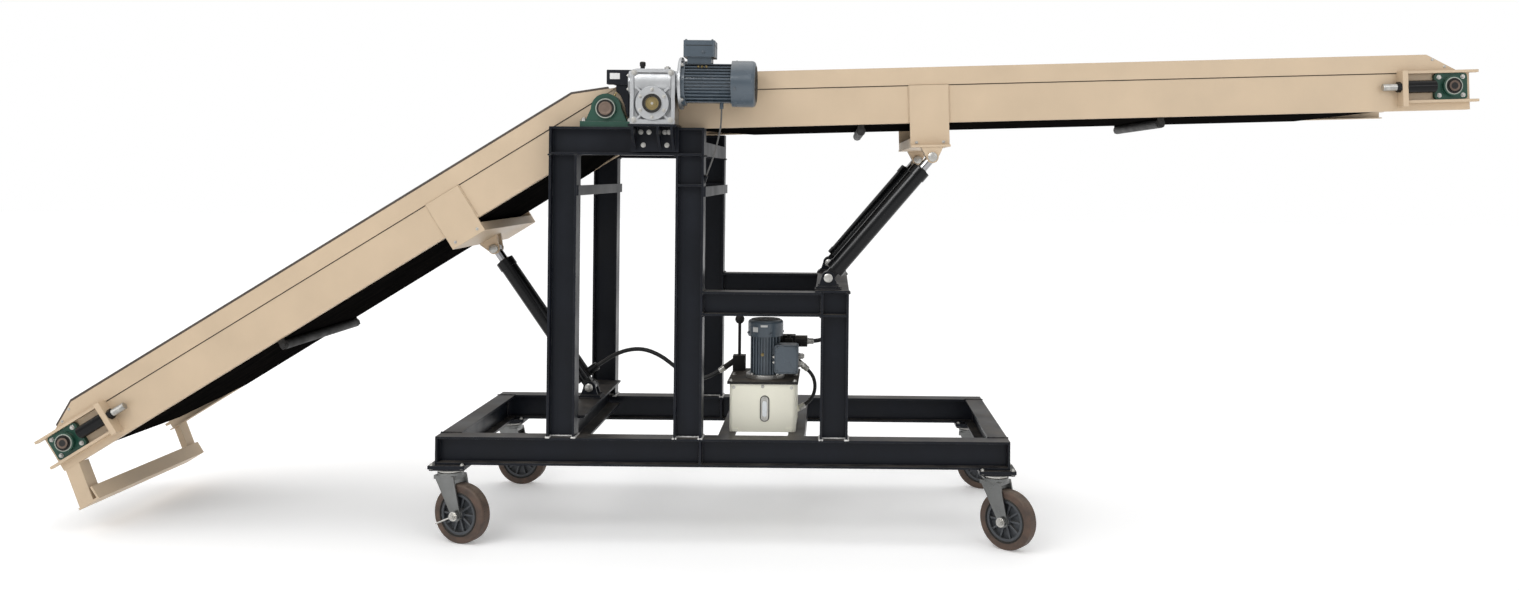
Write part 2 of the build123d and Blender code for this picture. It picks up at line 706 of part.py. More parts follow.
def lift_valve():
    x, y = VALVE_X, VALVE_Y
    shape = centred_block(x, y, LID_TOP, VALVE_BLOCK)
    shape += bar_x(x - SPOOL_LEFT, x + SPOOL_RIGHT, y, LID_TOP + SPOOL_RISE, SPOOL_R)
    shape += centred_block(x, y, LID_TOP + COIL_RISE, COIL)
    return shape + end_fitting(tank_hose_route()[::-1], VALVE_NIPPLE_L, NIPPLE_R)


def bearer(edge, way):
    """An angle under the tank, its flat leg reaching from the edge towards the tank."""
    angle = [
        (edge, RAIL_TOP - ANGLE_LEG),
        (edge + way * ANGLE_T, RAIL_TOP - ANGLE_LEG),
        (edge + way * ANGLE_T, RAIL_TOP - ANGLE_T),
        (edge + way * ANGLE_LEG, RAIL_TOP - ANGLE_T),
        (edge + way * ANGLE_LEG, RAIL_TOP),
        (edge, RAIL_TOP),
    ]
    return prism_y(angle, -INNER_Y, INNER_Y)


def power_unit():
    width, depth, _ = TANK_SIZE
    left, right = TANK_X - width / 2, TANK_X + width / 2
    back = TANK_FRONT + depth
    tank = block(left, right, TANK_FRONT, back, RAIL_TOP, TANK_TOP)
    tank = fillet(tank.edges().filter_by(Axis.Z), TANK_CORNER)
    tank += end_fitting(tank_hose_route(), TANK_NIPPLE_L, NIPPLE_R)
    lid = block(left - LID_LIP, right + LID_LIP, TANK_FRONT - LID_LIP, back + LID_LIP, TANK_TOP, LID_TOP)
    overhang = ANGLE_LEG - BEARER_LAP
    parts = {"power_unit_tank": [tank], "power_unit_lid": [lid]}
    parts.update(pump_motor_parts(TANK_X + PUMP_SHIFT, TANK_FRONT + PUMP_SETBACK))
    parts["power_unit_valves"] = [
        lever_valve(),
        lift_valve(),
    ]
    parts["power_unit_bearers"] = [bearer(left - overhang, 1), bearer(right + overhang, -1)]
    return parts


# Booms, built along +X from the hinge with the belt axis at height nought
def belt_loop(length, radius, low):
    outline = Line((BELT_RAMP, low), (0, -radius))
    outline += ThreePointArc((0, -radius), (-radius, 0), (0, radius))
    outline += Line((0, radius), (length, radius))
    outline += ThreePointArc((length, radius), (length + radius, 0), (length, -radius))
    outline += Line((length, -radius), (length - BELT_RAMP, low))
    outline += Line((length - BELT_RAMP, low), (BELT_RAMP, low))
    face = Plane.XZ.offset(BELT_WIDTH / 2) * make_face(outline)
    return extrude(face, amount=BELT_WIDTH, dir=(0, 1, 0))


def boom_panel(length):
    """The panel on the +Y side with its guard, tail rails and screw stop."""
    end = length + TAIL_OVERHANG
    sheet = block(0, end, PANEL_IN, PANEL_Y, -PANEL_DOWN, PANEL_UP)
    head = bar_y(0, PANEL_IN, PANEL_Y, 0, PANEL_DOWN)
    sheet += head & block(-PANEL_DOWN, PANEL_DOWN, PANEL_IN, PANEL_Y, -PANEL_DOWN, PANEL_UP)
    sheet += block(PANEL_LIP_START, end, PANEL_Y - PANEL_LIP, PANEL_Y, -PANEL_DOWN, -PANEL_DOWN + PANEL_T)
    low = PANEL_UP - GUARD_LAP
    guard = [
        (-GUARD_HEAD_LOW, low),
        (GUARD_HEAD_HIGH, GUARD_UP),
        (length - GUARD_TAIL_HIGH, GUARD_UP),
        (length + GUARD_TAIL_LOW, low),
    ]
    sheet += prism_y(guard, PANEL_Y, PANEL_Y + GUARD_T)
    stop, rail_end = length - RAIL_LENGTH, length + RAIL_OVERHANG
    rail_top = RAIL_RISE + RAIL_T
    sheet += block(stop, rail_end, PANEL_Y, PANEL_Y + RAIL_W, RAIL_RISE, rail_top)
    sheet += block(stop, rail_end, PANEL_Y, PANEL_Y + RAIL_W, -rail_top, -RAIL_RISE)
    sheet += block(stop - STOP_T, stop, PANEL_Y, PANEL_Y + STOP_W, -STOP_DROP, rail_top)
    slot = TAIL_SHAFT_R + SLOT_GAP
    sheet -= bar_y(0, PANEL_IN - PANEL_LIP, PANEL_Y + STOP_W, 0, SHAFT_R + RUN_GAP)
    sheet -= block(length - SLOT_BACK, length + slot + 1, PANEL_IN - 1, PANEL_Y + 1, -slot, slot)
    return sheet - bar_x(stop - 2 * STOP_T, stop + STOP_T, PANEL_Y + RAIL_W, 0, SCREW_R + FIT_GAP)


def tail_bearing(length):
    start, end = length - BEARING_BACK, length + BEARING_AHEAD
    shape = block(start, end, PANEL_Y, PANEL_Y + BEARING_T, -BEARING_HALF, BEARING_HALF)
    shape = fillet(shape.edges().filter_by(Axis.Y), BEARING_CORNER)
    shape += bar_y(length, PANEL_Y, PANEL_Y + BEARING_BOSS_T, 0, BEARING_BOSS_R)
    return shape - bar_y(length, PANEL_Y - 1, PANEL_Y + 2 * BEARING_BOSS_T, 0, TAIL_SHAFT_R + FIT_GAP)


def tension_screw(length):
    y = PANEL_Y + RAIL_W
    stop = length - RAIL_LENGTH
    screw = bar_x(stop - SCREW_TAIL, stop + SLEEVE_GAP, y, 0, SCREW_R)
    screw += bar_x(stop, length - BEARING_BACK - SLEEVE_GAP, y, 0, SLEEVE_R)
    nut = extrude(RegularPolygon(NUT_R, 6), amount=NUT_T)
    return screw + Pos(stop - NUT_BACK, y, 0) * Rot(0, 90, 0) * nut


def boom_saddle(boom):
    low = -boom.saddle_drop
    top = PANEL_UP - GUARD_LAP - 1
    start, end = boom.saddle_at, boom.saddle_at + boom.saddle_width
    pin_x, pin_z = boom.pin_at, -boom.pin_drop
    ear_reach = CLEVIS_GAP / 2 + EAR_T
    reach = max(PANEL_Y + SADDLE_T, max(boom.pin_ys) + ear_reach + PIN_HEAD_T / 2)
    shape = block(start, end, -reach, reach, low, low + SADDLE_T)
    for side in both_sides(block(start, end, PANEL_Y, PANEL_Y + SADDLE_T, low, top)):
        shape += side
    for x in (start, end - SADDLE_RIB_T):
        shape += block(x, x + SADDLE_RIB_T, -PANEL_Y - 1, PANEL_Y + 1, low, low + SADDLE_RIB_H)
    ear = [(pin_x - EAR_FOOT, low), (pin_x + EAR_FOOT, low), (pin_x + EAR_R, pin_z), (pin_x - EAR_R, pin_z)]
    for y in boom.pin_ys:
        for side in (-1, 1):
            y0, y1 = sorted((y + side * CLEVIS_GAP / 2, y + side * ear_reach))
            shape += prism_y(ear, y0, y1)
            shape += bar_y(pin_x, y0, y1, pin_z, EAR_R)
            head0, head1 = sorted((y + side * ear_reach, y + side * (ear_reach + PIN_HEAD_T)))
            shape += bar_y(pin_x, head0, head1, pin_z, PIN_HEAD_R)
    return shape


def boom_foot(length):
    """Two leaning channel legs that stand on an angle across the boom."""
    top_x = length + FOOT_SET
    shift = FOOT_DROP * math.tan(math.radians(FOOT_LEAN))
    low = -PANEL_DOWN - FOOT_DROP

    def leg(width):
        return [
            (top_x, -PANEL_DOWN),
            (top_x + width, -PANEL_DOWN),
            (top_x + width + shift, low),
            (top_x + shift, low),
        ]

    heel = top_x + shift - SOLE_BACK
    sole = block(heel, top_x + shift + FOOT_LEG + FOOT_SKIN, -PANEL_Y, PANEL_Y, low - SOLE_T, low)
    sole += block(heel, heel + SOLE_T, -PANEL_Y, PANEL_Y, low - SOLE_T, low + SOLE_UPSTAND)
    for side in both_sides(prism_y(leg(FOOT_LEG), PANEL_Y - FOOT_SKIN, PANEL_Y)):
        sole += side
    for side in both_sides(prism_y(leg(FOOT_SKIN), PANEL_Y - FOOT_LEG, PANEL_Y)):
        sole += side
    return sole


def return_idler(at):
    """A roller under the belt's return run, with the two plates that hang it from the panels' lips."""
    low = -PANEL_DOWN - IDLER_DROP
    reach = PANEL_Y - PANEL_LIP
    roller = bar_y(at, -reach + 1, reach - 1, low, IDLER_R)
    roller += bar_y(at, -reach - 2 * PANEL_T, reach + 2 * PANEL_T, low, IDLER_SHAFT_R)
    half_w, plate_low = HANGER_W / 2, -PANEL_DOWN - HANGER_DROP
    plate = block(at - half_w, at + half_w, reach, reach + PANEL_T, plate_low, -PANEL_DOWN)
    plate -= bar_y(at, reach - 1, PANEL_Y, low, IDLER_SHAFT_R + FIT_GAP)
    return [roller, *both_sides(plate)]


def slider_bed(length):
    start, end = BED_HEAD_GAP, length - BED_TAIL_GAP
    low = DRUM_R - BED_T
    bed = block(start, end, -PANEL_IN, PANEL_IN, low, DRUM_R)
    count = round((end - start) / BED_RIB_SPAN)
    pitch = (end - start - 2 * BED_RIB) / count
    for step in range(count + 1):
        x = start + BED_RIB / 2 + step * pitch
        bed += block(x, x + BED_RIB, -PANEL_IN, PANEL_IN, low - BED_RIB, low)
    return bed


def boom_parts(prefix, boom):
    length = boom.length
    inner = DRUM_R + RUN_GAP
    belt = belt_loop(length, inner + BELT_T, -BELT_RETURN - BELT_T) - belt_loop(length, inner, -BELT_RETURN)
    drum_half, shaft_half = PANEL_IN - DRUM_SIDE_GAP, PANEL_Y + TAIL_SHAFT_REACH
    pulley = bar_y(length, -drum_half, drum_half, 0, DRUM_R)
    pulley += bar_y(length, -shaft_half, shaft_half, 0, TAIL_SHAFT_R)
    idlers = [solid for at in boom.idlers for solid in return_idler(at)]
    parts = {
        "side_panels": both_sides(boom_panel(length)),
        "slider_bed": [slider_bed(length)],
        "belt": [belt],
        "pulleys": [pulley, *idlers],
        "tail_bearings": both_sides(tail_bearing(length)),
        "tension_screws": both_sides(tension_screw(length)),
        "saddle": [boom_saddle(boom)],
    }
    if boom.has_foot:
        parts["foot"] = [boom_foot(length)]
    return {prefix + "_" + name: shapes for name, shapes in parts.items()}


class Boom(NamedTuple):
    """What differs between the two booms."""

    length: float
    saddle_at: float
    saddle_width: float
    saddle_drop: float
    pin_at: float
    pin_drop: float
    pin_ys: tuple
    idlers: tuple
    has_foot: bool


INFEED_BOOM = Boom(
    length=INFEED_LENGTH,
    saddle_at=INFEED_SADDLE_AT,
    saddle_width=INFEED_SADDLE_W,
    saddle_drop=INFEED_SADDLE_DROP,
    pin_at=INFEED_PIN_AT,
    pin_drop=INFEED_PIN_DROP,
    pin_ys=(0.0,),
    idlers=(INFEED_IDLER_AT,),
    has_foot=True,
)
DISCHARGE_BOOM = Boom(
    length=DISCHARGE_LENGTH,
    saddle_at=DISCHARGE_SADDLE_AT,
    saddle_width=DISCHARGE_SADDLE_W,
    saddle_drop=DISCHARGE_SADDLE_DROP,
    pin_at=DISCHARGE_PIN_AT,
    pin_drop=DISCHARGE_PIN_DROP,
    pin_ys=(-LIFT_Y, LIFT_Y),
    idlers=(DISCHARGE_IDLER_AT, DISCHARGE_FAR_IDLER_AT),
    has_foot=False,
)


def infeed_place():
    x, z = INFEED_HINGE
    return Pos(x, 0, z) * Rot(0, -INFEED_ANGLE, 0) * Rot(0, 0, 180)


def discharge_place():
    x, z = DISCHARGE_HINGE
    return Pos(x, 0, z) * Rot(0, -DISCHARGE_ANGLE, 0)


def infeed_point(along, up):
    run, rise = math.cos(math.radians(INFEED_ANGLE)), math.sin(math.radians(INFEED_ANGLE))
    x, z = INFEED_HINGE
    return (x - along * run - up * rise, z - along * rise + up * run)


def discharge_point(along, up):
    run, rise = math.cos(math.radians(DISCHARGE_ANGLE)), math.sin(math.radians(DISCHARGE_ANGLE))
    x, z = DISCHARGE_HINGE
    return (x + along * run - up * rise, z + along * rise + up * run)


# Lift cylinders
def lift_line(foot, eye):
    """Length and slope in degrees of a cylinder between its two pins."""
    run, rise = eye[0] - foot[0], eye[1] - foot[1]
    return math.hypot(run, rise), math.degrees(math.atan2(rise, run))


INFEED_FOOT = (CROSS_BEAM_X, CROSS_BEAM_TOP + LIFT_PIN_RISE)
DISCHARGE_FOOT = (SHELF_POST_X - LIFT_SETBACK, SHELF_TOP + LIFT_PIN_RISE)
INFEED_EYE = infeed_point(INFEED_PIN_AT, -INFEED_PIN_DROP)
DISCHARGE_EYE = discharge_point(DISCHARGE_PIN_AT, -DISCHARGE_PIN_DROP)


def foot_bracket(foot, y):
    x, z = foot
    low = z - LIFT_PIN_RISE
    reach = CLEVIS_GAP / 2 + EAR_T
    ear_foot = BRACKET_HALF - PIN_HEAD_T
    half_w = reach + BRACKET_SIDE
    shape = block(x - BRACKET_HALF, x + BRACKET_HALF, y - half_w, y + half_w, low, low + BRACKET_T)
    ear = [(x - ear_foot, low), (x + ear_foot, low), (x + BRACKET_R, z), (x - BRACKET_R, z)]
    for side in (-1, 1):
        y0, y1 = sorted((y + side * CLEVIS_GAP / 2, y + side * reach))
        shape += prism_y(ear, y0, y1)
        shape += bar_y(x, y0, y1, z, BRACKET_R)
    return shape + bar_y(x, y - reach - PIN_HEAD_T, y + reach + PIN_HEAD_T, z, PIN_R)


def hose_port():
    """A round boss on an upright barrel's +X side, and the bore that takes the hose's end."""
    end = BARREL_R + PORT_LENGTH
    boss = bar_x(BARREL_R / 2, end, 0, PORT_AT, PORT_R)
    return boss, bar_x(BARREL_R + PORT_FLOOR, end + 1, 0, PORT_AT, HOSE_R + PORT_GAP)


def barrel_and_rod(foot, eye, y, has_port):
    """A cylinder's barrel and rod, made upright over the foot pin and then leaned to the eye."""
    length, slope = lift_line(foot, eye)
    gland = length - GLAND_SETBACK
    place = Pos(foot[0], y, foot[1]) * Rot(0, 90 - slope, 0)
    barrel = bar_z(0, 0, BARREL_START, gland, BARREL_R)
    barrel += bar_z(0, 0, gland - GLAND_H, gland, BARREL_R + GLAND_PROUD)
    barrel += bar_z(0, 0, BARREL_START, BARREL_BASE, BARREL_R + GLAND_PROUD - 1)
    barrel += block(-NECK_HALF, NECK_HALF, -EYE_W / 2, EYE_W / 2, 0, BARREL_START + PIN_R / 2)
    barrel += bar_y(0, -EYE_W / 2, EYE_W / 2, 0, EYE_R + EYE_SIDE_GAP)
    if has_port:
        boss, bore = hose_port()
        barrel = barrel + boss - bore
    barrel -= bar_y(0, -EYE_W, EYE_W, 0, PIN_R + RUN_GAP)
    barrel -= bar_z(0, 0, BARREL_FLOOR, gland + 1, ROD_R + RUN_GAP)
    rod = bar_z(0, 0, BARREL_FLOOR + ROD_INSIDE, length - EYE_R / 2, ROD_R)
    rod += bar_y(0, -EYE_W / 2 + EYE_SIDE_GAP, EYE_W / 2 - EYE_SIDE_GAP, length, EYE_R)
    rod -= bar_y(0, -EYE_W, EYE_W, length, PIN_R)
    return place * barrel, place * rod


def lift_parts():
    infeed_barrel, infeed_rod = barrel_and_rod(INFEED_FOOT, INFEED_EYE, 0, True)
    pairs = [barrel_and_rod(DISCHARGE_FOOT, DISCHARGE_EYE, y, False) for y in (-LIFT_Y, LIFT_Y)]
    brackets = [foot_bracket(INFEED_FOOT, 0)]
    brackets += [foot_bracket(DISCHARGE_FOOT, y) for y in (-LIFT_Y, LIFT_Y)]
    return {
        "lift_brackets": brackets,
        "infeed_cylinder_barrel": [infeed_barrel],
        "infeed_cylinder_rod": [infeed_rod],
        "discharge_cylinder_barrels": [pair[0] for pair in pairs],
        "discharge_cylinder_rods": [pair[1] for pair in pairs],
    }


# Hoses and cable
def hose_route(start, lead, sways, tail, end):
    """Points of a route with a straight run at each end.

    A sway is a share of the way between the runs, with the point's X and Z off the straight line.
    """
    first, last = Vector(*start) + Vector(*lead), Vector(*end) - Vector(*tail)
    middle = [first + (last - first) * share + Vector(side, 0, rise) for share, side, rise in sways]
    return [Vector(*start), first, *middle, last, Vector(*end)]


def lift_hose_route():
    """From the port of the infeed barrel to the lever valve."""
    lean = math.radians(lift_line(INFEED_FOOT, INFEED_EYE)[1] - 90)
    run, rise = math.cos(lean), math.sin(lean)
    out = BARREL_R + PORT_LENGTH - PORT_SINK
    x, z = INFEED_FOOT
    start = (x + out * run - PORT_AT * rise, 0, z + out * rise + PORT_AT * run)
    end = (LEVER_X + LEVER_NIPPLE_FROM[0], LEVER_Y, LID_TOP + LEVER_NIPPLE_FROM[1])
    return hose_route(start, (PORT_LEAD * run, 0, PORT_LEAD * rise), LIFT_HOSE_SWAYS, LEVER_TAIL, end)


def shelf_hose_route():
    """From the lift valve's spool up to a union under the shelf's cross beam."""
    start = (VALVE_X + SPOOL_RIGHT, VALVE_Y, LID_TOP + SPOOL_RISE)
    end = (SHELF_POST_X + UNION_SIDE, VALVE_Y, SHELF_TOP - SHELF_CAP_T - BEAM_DEPTH - UNION_DROP)
    return hose_route(start, (SHELF_HOSE_LEAD, 0, 0), SHELF_HOSE_SWAYS, (0, 0, SHELF_HOSE_LEAD), end)


def tank_hose_route():
    """From the lift valve round to the tank's side."""
    x, y, z = TANK_HOSE_FROM
    start = (VALVE_X + x, VALVE_Y + y, LID_TOP + z)
    end = (TANK_X + TANK_SIZE[0] / 2 + TANK_HOSE_TO[0], VALVE_Y + y, RAIL_TOP + TANK_HOSE_TO[1])
    return hose_route(start, TANK_HOSE_LEAD, TANK_HOSE_SWAYS, TANK_HOSE_TAIL, end)


def cable_route():
    """From the gland under the drive motor to the front right post."""
    start = (DISCHARGE_HINGE[0] + CABLE_FROM[0], DRIVE_Y, DISCHARGE_HINGE[1] + WORM_RISE + CABLE_FROM[1])
    x, y, z = CABLE_TO
    end = (RIGHT_POST_X + BEAM_DEPTH / 2 + x, -RAIL_Y + y, TOP_BEAM_BOTTOM + z)
    return hose_route(start, (0, 0, -CABLE_LEAD), CABLE_SWAYS, CABLE_TAIL, end)


def cord_radii(route):
    """The largest arc at each corner that its two runs leave room for."""
    runs = [after - before for before, after in zip(route, route[1:])]
    radii = []
    for before, after in zip(runs, runs[1:]):
        half_turn = math.radians(before.get_angle(after)) / 2
        radii.append(ARC_SHARE * min(before.length, after.length) / math.tan(half_turn))
    return radii


def cord(name, route, radius):
    radii = cord_radii(route)
    path = FilletPolyline(*route, radius=radii)
    print(name, "length", round(path.length), "radii", [round(value) for value in radii])
    return sweep(Plane(origin=path @ 0, z_dir=path % 0) * Circle(radius), path=path)


def cord_parts():
    cords = {
        "hose_lift": (lift_hose_route(), HOSE_R),
        "hose_shelf": (shelf_hose_route(), HOSE_R),
        "hose_tank": (tank_hose_route(), RETURN_HOSE_R),
        "cable_motor": (cable_route(), CABLE_R),
    }
    return {name: [cord(name, route, radius)] for name, (route, radius) in cords.items()}


# Swivel casters
def caster_places():
    return {
        "front_left": (-CASTER_X, -RAIL_Y),
        "front_right": (CASTER_X, -RAIL_Y),
        "rear_left": (-CASTER_X, RAIL_Y),
        "rear_right": (CASTER_X, RAIL_Y),
    }


def caster_plate(x, y):
    plate_low = RAIL_BOTTOM - PLATE_T
    spacer = (PLATE_X - 2 * SPACER_INSET, PLATE_Y - 2 * SPACER_INSET, plate_low - SWIVEL_TOP)
    shape = centred_block(x, y, plate_low, (PLATE_X, PLATE_Y, PLATE_T))
    shape += centred_block(x, y, SWIVEL_TOP, spacer)
    return shape + bar_z(x, y, SWIVEL_TOP - SWIVEL_H, SWIVEL_TOP, RACEWAY_R)


def caster_fork():
    crown_top = SWIVEL_TOP - SWIVEL_H - RUN_GAP
    leg_top = crown_top - PLATE_T + 2
    gap = WHEEL_W / 2 + FORK_GAP
    out = gap + FORK_T
    fork = bar_z(0, 0, crown_top - PLATE_T, crown_top, CROWN_R)
    fork += block(-CROWN_BACK, CROWN_AHEAD, -out, out, 2 * WHEEL_R + CROWN_GAP, leg_top)
    leg = [
        (-CROWN_BACK, leg_top),
        (CROWN_AHEAD, leg_top),
        (CASTER_TRAIL + FORK_TIP_R - 1, WHEEL_R),
        (CASTER_TRAIL - FORK_TIP_R + 1, WHEEL_R),
    ]
    for y in (-out, gap):
        fork += prism_y(leg, y, y + FORK_T)
        fork += bar_y(CASTER_TRAIL, y, y + FORK_T, WHEEL_R, FORK_TIP_R)
    fork += bar_y(CASTER_TRAIL, -out - AXLE_REACH, out + AXLE_REACH, WHEEL_R, AXLE_R)
    nut = extrude(RegularPolygon(AXLE_NUT_R, 6), amount=AXLE_NUT_T)
    for y in (-out, out + AXLE_NUT_T):
        fork += Pos(CASTER_TRAIL, y, WHEEL_R) * Rot(90, 0, 0) * nut
    return fork


def caster_wheel():
    """Tyre and spoked hub about the caster's axle."""
    half = WHEEL_W / 2
    tyre = bar_y(CASTER_TRAIL, -half, half, WHEEL_R, WHEEL_R)
    tyre = fillet(tyre.edges().filter_by(GeomType.CIRCLE), TYRE_ROUND)
    tyre -= bar_y(CASTER_TRAIL, -half - 1, half + 1, WHEEL_R, RIM_R)
    rim = bar_y(CASTER_TRAIL, -half + 2, half - 2, WHEEL_R, RIM_R)
    for y0, y1 in ((-half, -WEB_T / 2), (WEB_T / 2, half)):
        rim -= bar_y(CASTER_TRAIL, y0, y1, WHEEL_R, RIM_R - RIM_T)
    for step in range(SPOKE_PAIRS):
        turn = Pos(CASTER_TRAIL, 0, WHEEL_R) * Rot(0, 180 / SPOKE_PAIRS * step, 0)
        rim += turn * Box(2 * (RIM_R - SPOKE_T), WHEEL_W - WEB_T - 2, SPOKE_T)
    rim += bar_y(CASTER_TRAIL, -half - HUB_PROUD, half + HUB_PROUD, WHEEL_R, HUB_R)
    rim -= bar_y(CASTER_TRAIL, -WHEEL_W, WHEEL_W, WHEEL_R, AXLE_R + RUN_GAP)
    return tyre, rim


def caster_parts():
    fork = caster_fork()
    tyre, rim = caster_wheel()
    places = caster_places()
    parts = {"caster_plates": [caster_plate(x, y) for x, y in places.values()]}
    for name, (x, y) in places.items():
        place = Pos(x, y, 0) * Rot(0, 0, CASTER_YAW[name])
        parts["fork_" + name] = [place * fork]
        parts["tyre_" + name] = [place * tyre]
        parts["hub_" + name] = [place * rim]
    return parts


# The whole machine
def build():
    nodes = chassis_beams()
    nodes.update(drive_train())
    nodes.update(power_unit())
    nodes.update(lift_parts())
    nodes.update(caster_parts())
    nodes.update(cord_parts())
    infeed = boom_parts("infeed", INFEED_BOOM)
    nodes.update({name: [infeed_place() * s for s in shapes] for name, shapes in infeed.items()})
    discharge = boom_parts("discharge", DISCHARGE_BOOM)
    nodes.update({name: [discharge_place() * s for s in shapes] for name, shapes in discharge.items()})
    return nodes


def origin_shift(nodes):
    """The move that puts the origin under the middle of the machine's outside box."""
    boxes = [shape.bounding_box() for shapes in nodes.values() for shape in shapes]
    low = [min(tuple(box.min)[axis] for box in boxes) for axis in range(3)]
    high = [max(tuple(box.max)[axis] for box in boxes) for axis in range(3)]
    return (-(low[0] + high[0]) / 2, -(low[1] + high[1]) / 2, -low[2])


def write():
    os.makedirs("parts", exist_ok=True)
    nodes = build()
    shift = Pos(*origin_shift(nodes))
    for name, shapes in nodes.items():
        solids = [shift * solid for shape in shapes for solid in shape.solids()]
        export_step(Compound(children=solids) if len(solids) > 1 else solids[0], "parts/" + name + ".step")


if __name__ == "__main__":
    write()
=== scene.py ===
"""Looks for the folding loading conveyor: finishes, fasteners, welds, trim and the studio around it."""

import json
import math

import bmesh
import bpy
from mathutils import Matrix, Vector


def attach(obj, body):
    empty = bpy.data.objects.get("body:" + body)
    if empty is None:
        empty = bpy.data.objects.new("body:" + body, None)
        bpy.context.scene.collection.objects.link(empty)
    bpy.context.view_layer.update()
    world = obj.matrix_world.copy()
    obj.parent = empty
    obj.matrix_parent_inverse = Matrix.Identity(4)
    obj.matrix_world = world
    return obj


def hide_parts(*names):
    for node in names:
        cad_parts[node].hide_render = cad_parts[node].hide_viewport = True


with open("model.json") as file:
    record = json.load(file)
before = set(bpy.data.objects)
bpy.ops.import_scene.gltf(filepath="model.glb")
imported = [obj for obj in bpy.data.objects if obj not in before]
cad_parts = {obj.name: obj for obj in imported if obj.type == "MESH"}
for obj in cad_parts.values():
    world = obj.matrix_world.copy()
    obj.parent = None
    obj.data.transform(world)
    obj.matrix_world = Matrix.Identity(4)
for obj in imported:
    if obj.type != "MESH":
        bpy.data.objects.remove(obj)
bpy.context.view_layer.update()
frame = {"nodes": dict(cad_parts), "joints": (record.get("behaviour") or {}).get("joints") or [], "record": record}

bl_info = {
    "name": "Loading conveyor finish",
    "version": (1, 0, 0),
    "blender": (4, 5, 0),
    "location": "View3D > Sidebar > Conveyor",
    "description": "Dresses the folding loading conveyor with paint, fasteners, welds and trim",
    "category": "Object",
}

# Places read from the frame, in metres
HINGES = {joint["name"]: Vector(joint["pos_m"]) for joint in frame["joints"] if "pos_m" in joint}
BASE_MIDDLE = HINGES["infeed_boom_hinge"] - Vector((-0.431, 0, 1.556))
CASTERS = ("front_left", "front_right", "rear_left", "rear_right")
RIGHT, BACK, UP = Vector((1, 0, 0)), Vector((0, 1, 0)), Vector((0, 0, 1))
FRONT = Vector((0, -1, 0))

# Boom section, measured from the belt axis
PANEL_Y = 0.357
PANEL_DOWN = 0.085
GUARD_LOW = 0.053
GUARD_UP = 0.117
GUARD_T = 0.003
RAIL_START = 0.170
BOOMS = {
    "infeed": {"length": 2.300, "slope": math.radians(32.1), "way": -1},
    "discharge": {"length": 2.870, "slope": math.radians(2.0), "way": 1},
}


def at(x, y, z):
    """A point given in millimetres from the floor under the middle of the base."""
    return BASE_MIDDLE + Vector((x, y, z)) / 1000


def boom_place(name):
    """Matrix from a boom's own along, across and up to the frame."""
    boom = BOOMS[name]
    way = boom["way"]
    run, rise = math.cos(boom["slope"]), math.sin(boom["slope"])
    along = Vector((way * run, 0, way * rise))
    across = Vector((0, way, 0))
    up = Vector((-rise, 0, run))
    turn = Matrix((along, across, up)).transposed().to_4x4()
    return Matrix.Translation(HINGES[name + "_boom_hinge"]) @ turn


# Settings that a user would change
class ConveyorPaint(bpy.types.PropertyGroup):
    sand: bpy.props.FloatVectorProperty(
        name="Boom paint", description="Colour of the boom panels",
        subtype="COLOR", default=(0.565, 0.437, 0.300),
    )
    black: bpy.props.FloatVectorProperty(
        name="Frame paint", description="Colour of the beams",
        subtype="COLOR", default=(0.0076, 0.0094, 0.0142),
    )
    green: bpy.props.FloatVectorProperty(
        name="Bearing paint", description="Colour of the bearings",
        subtype="COLOR", default=(0.011, 0.062, 0.040),
    )
    motor: bpy.props.FloatVectorProperty(
        name="Motor paint", description="Colour of both motors",
        subtype="COLOR", default=(0.066, 0.090, 0.114),
    )
    cream: bpy.props.FloatVectorProperty(
        name="Tank paint", description="Colour of the oil tank",
        subtype="COLOR", default=(0.87, 0.85, 0.72),
    )
    tyre: bpy.props.FloatVectorProperty(
        name="Tyre rubber", description="Colour of the caster tyres",
        subtype="COLOR", default=(0.085, 0.054, 0.039),
    )
    wear: bpy.props.FloatProperty(
        name="Edge wear", description="How far paint is rubbed from edges",
        subtype="FACTOR", default=0.5, min=0, max=1,
    )
    dust: bpy.props.FloatProperty(
        name="Dust", description="Dust lying on faces that look up",
        subtype="FACTOR", default=0.25, min=0, max=1,
    )


class ConveyorHardware(bpy.types.PropertyGroup):
    frame_bolt: bpy.props.FloatProperty(
        name="Frame bolt", description="Thread size of the large bolts",
        unit="LENGTH", default=0.012,
    )
    cover_bolt: bpy.props.FloatProperty(
        name="Cover bolt", description="Thread size of the bearing and motor bolts",
        unit="LENGTH", default=0.009,
    )
    small_screw: bpy.props.FloatProperty(
        name="Small screw", description="Thread size of the sheet screws",
        unit="LENGTH", default=0.005,
    )
    weld_size: bpy.props.FloatProperty(
        name="Weld size", description="Half width of a weld bead",
        unit="LENGTH", default=0.0042,
    )
    weld_pitch: bpy.props.FloatProperty(
        name="Weld ripple", description="Distance between a bead's ripples",
        unit="LENGTH", default=0.0045,
    )


class ConveyorStage(bpy.types.PropertyGroup):
    camera_at: bpy.props.FloatVectorProperty(
        name="Camera", description="Where the camera stands",
        subtype="TRANSLATION", default=(0.268, -4.589, 1.326),
    )
    lens: bpy.props.FloatProperty(name="Lens", description="Focal length in millimetres", default=27.94)
    roll: bpy.props.FloatProperty(
        name="Roll", description="Turn of the camera about its own line",
        subtype="ANGLE", default=math.radians(0.57),
    )
    light: bpy.props.FloatProperty(name="Light", description="Strength of the soft boxes", default=1.0, min=0)


# Node helpers
def add_node(tree, kind, inputs=None, **settings):
    """A new node; an input given as a socket is linked, any other value is set."""
    node = tree.nodes.new(kind)
    for key, value in settings.items():
        setattr(node, key, value)
    for key, value in (inputs or {}).items():
        if isinstance(value, bpy.types.NodeSocket):
            tree.links.new(value, node.inputs[key])
        else:
            node.inputs[key].default_value = value
    return node


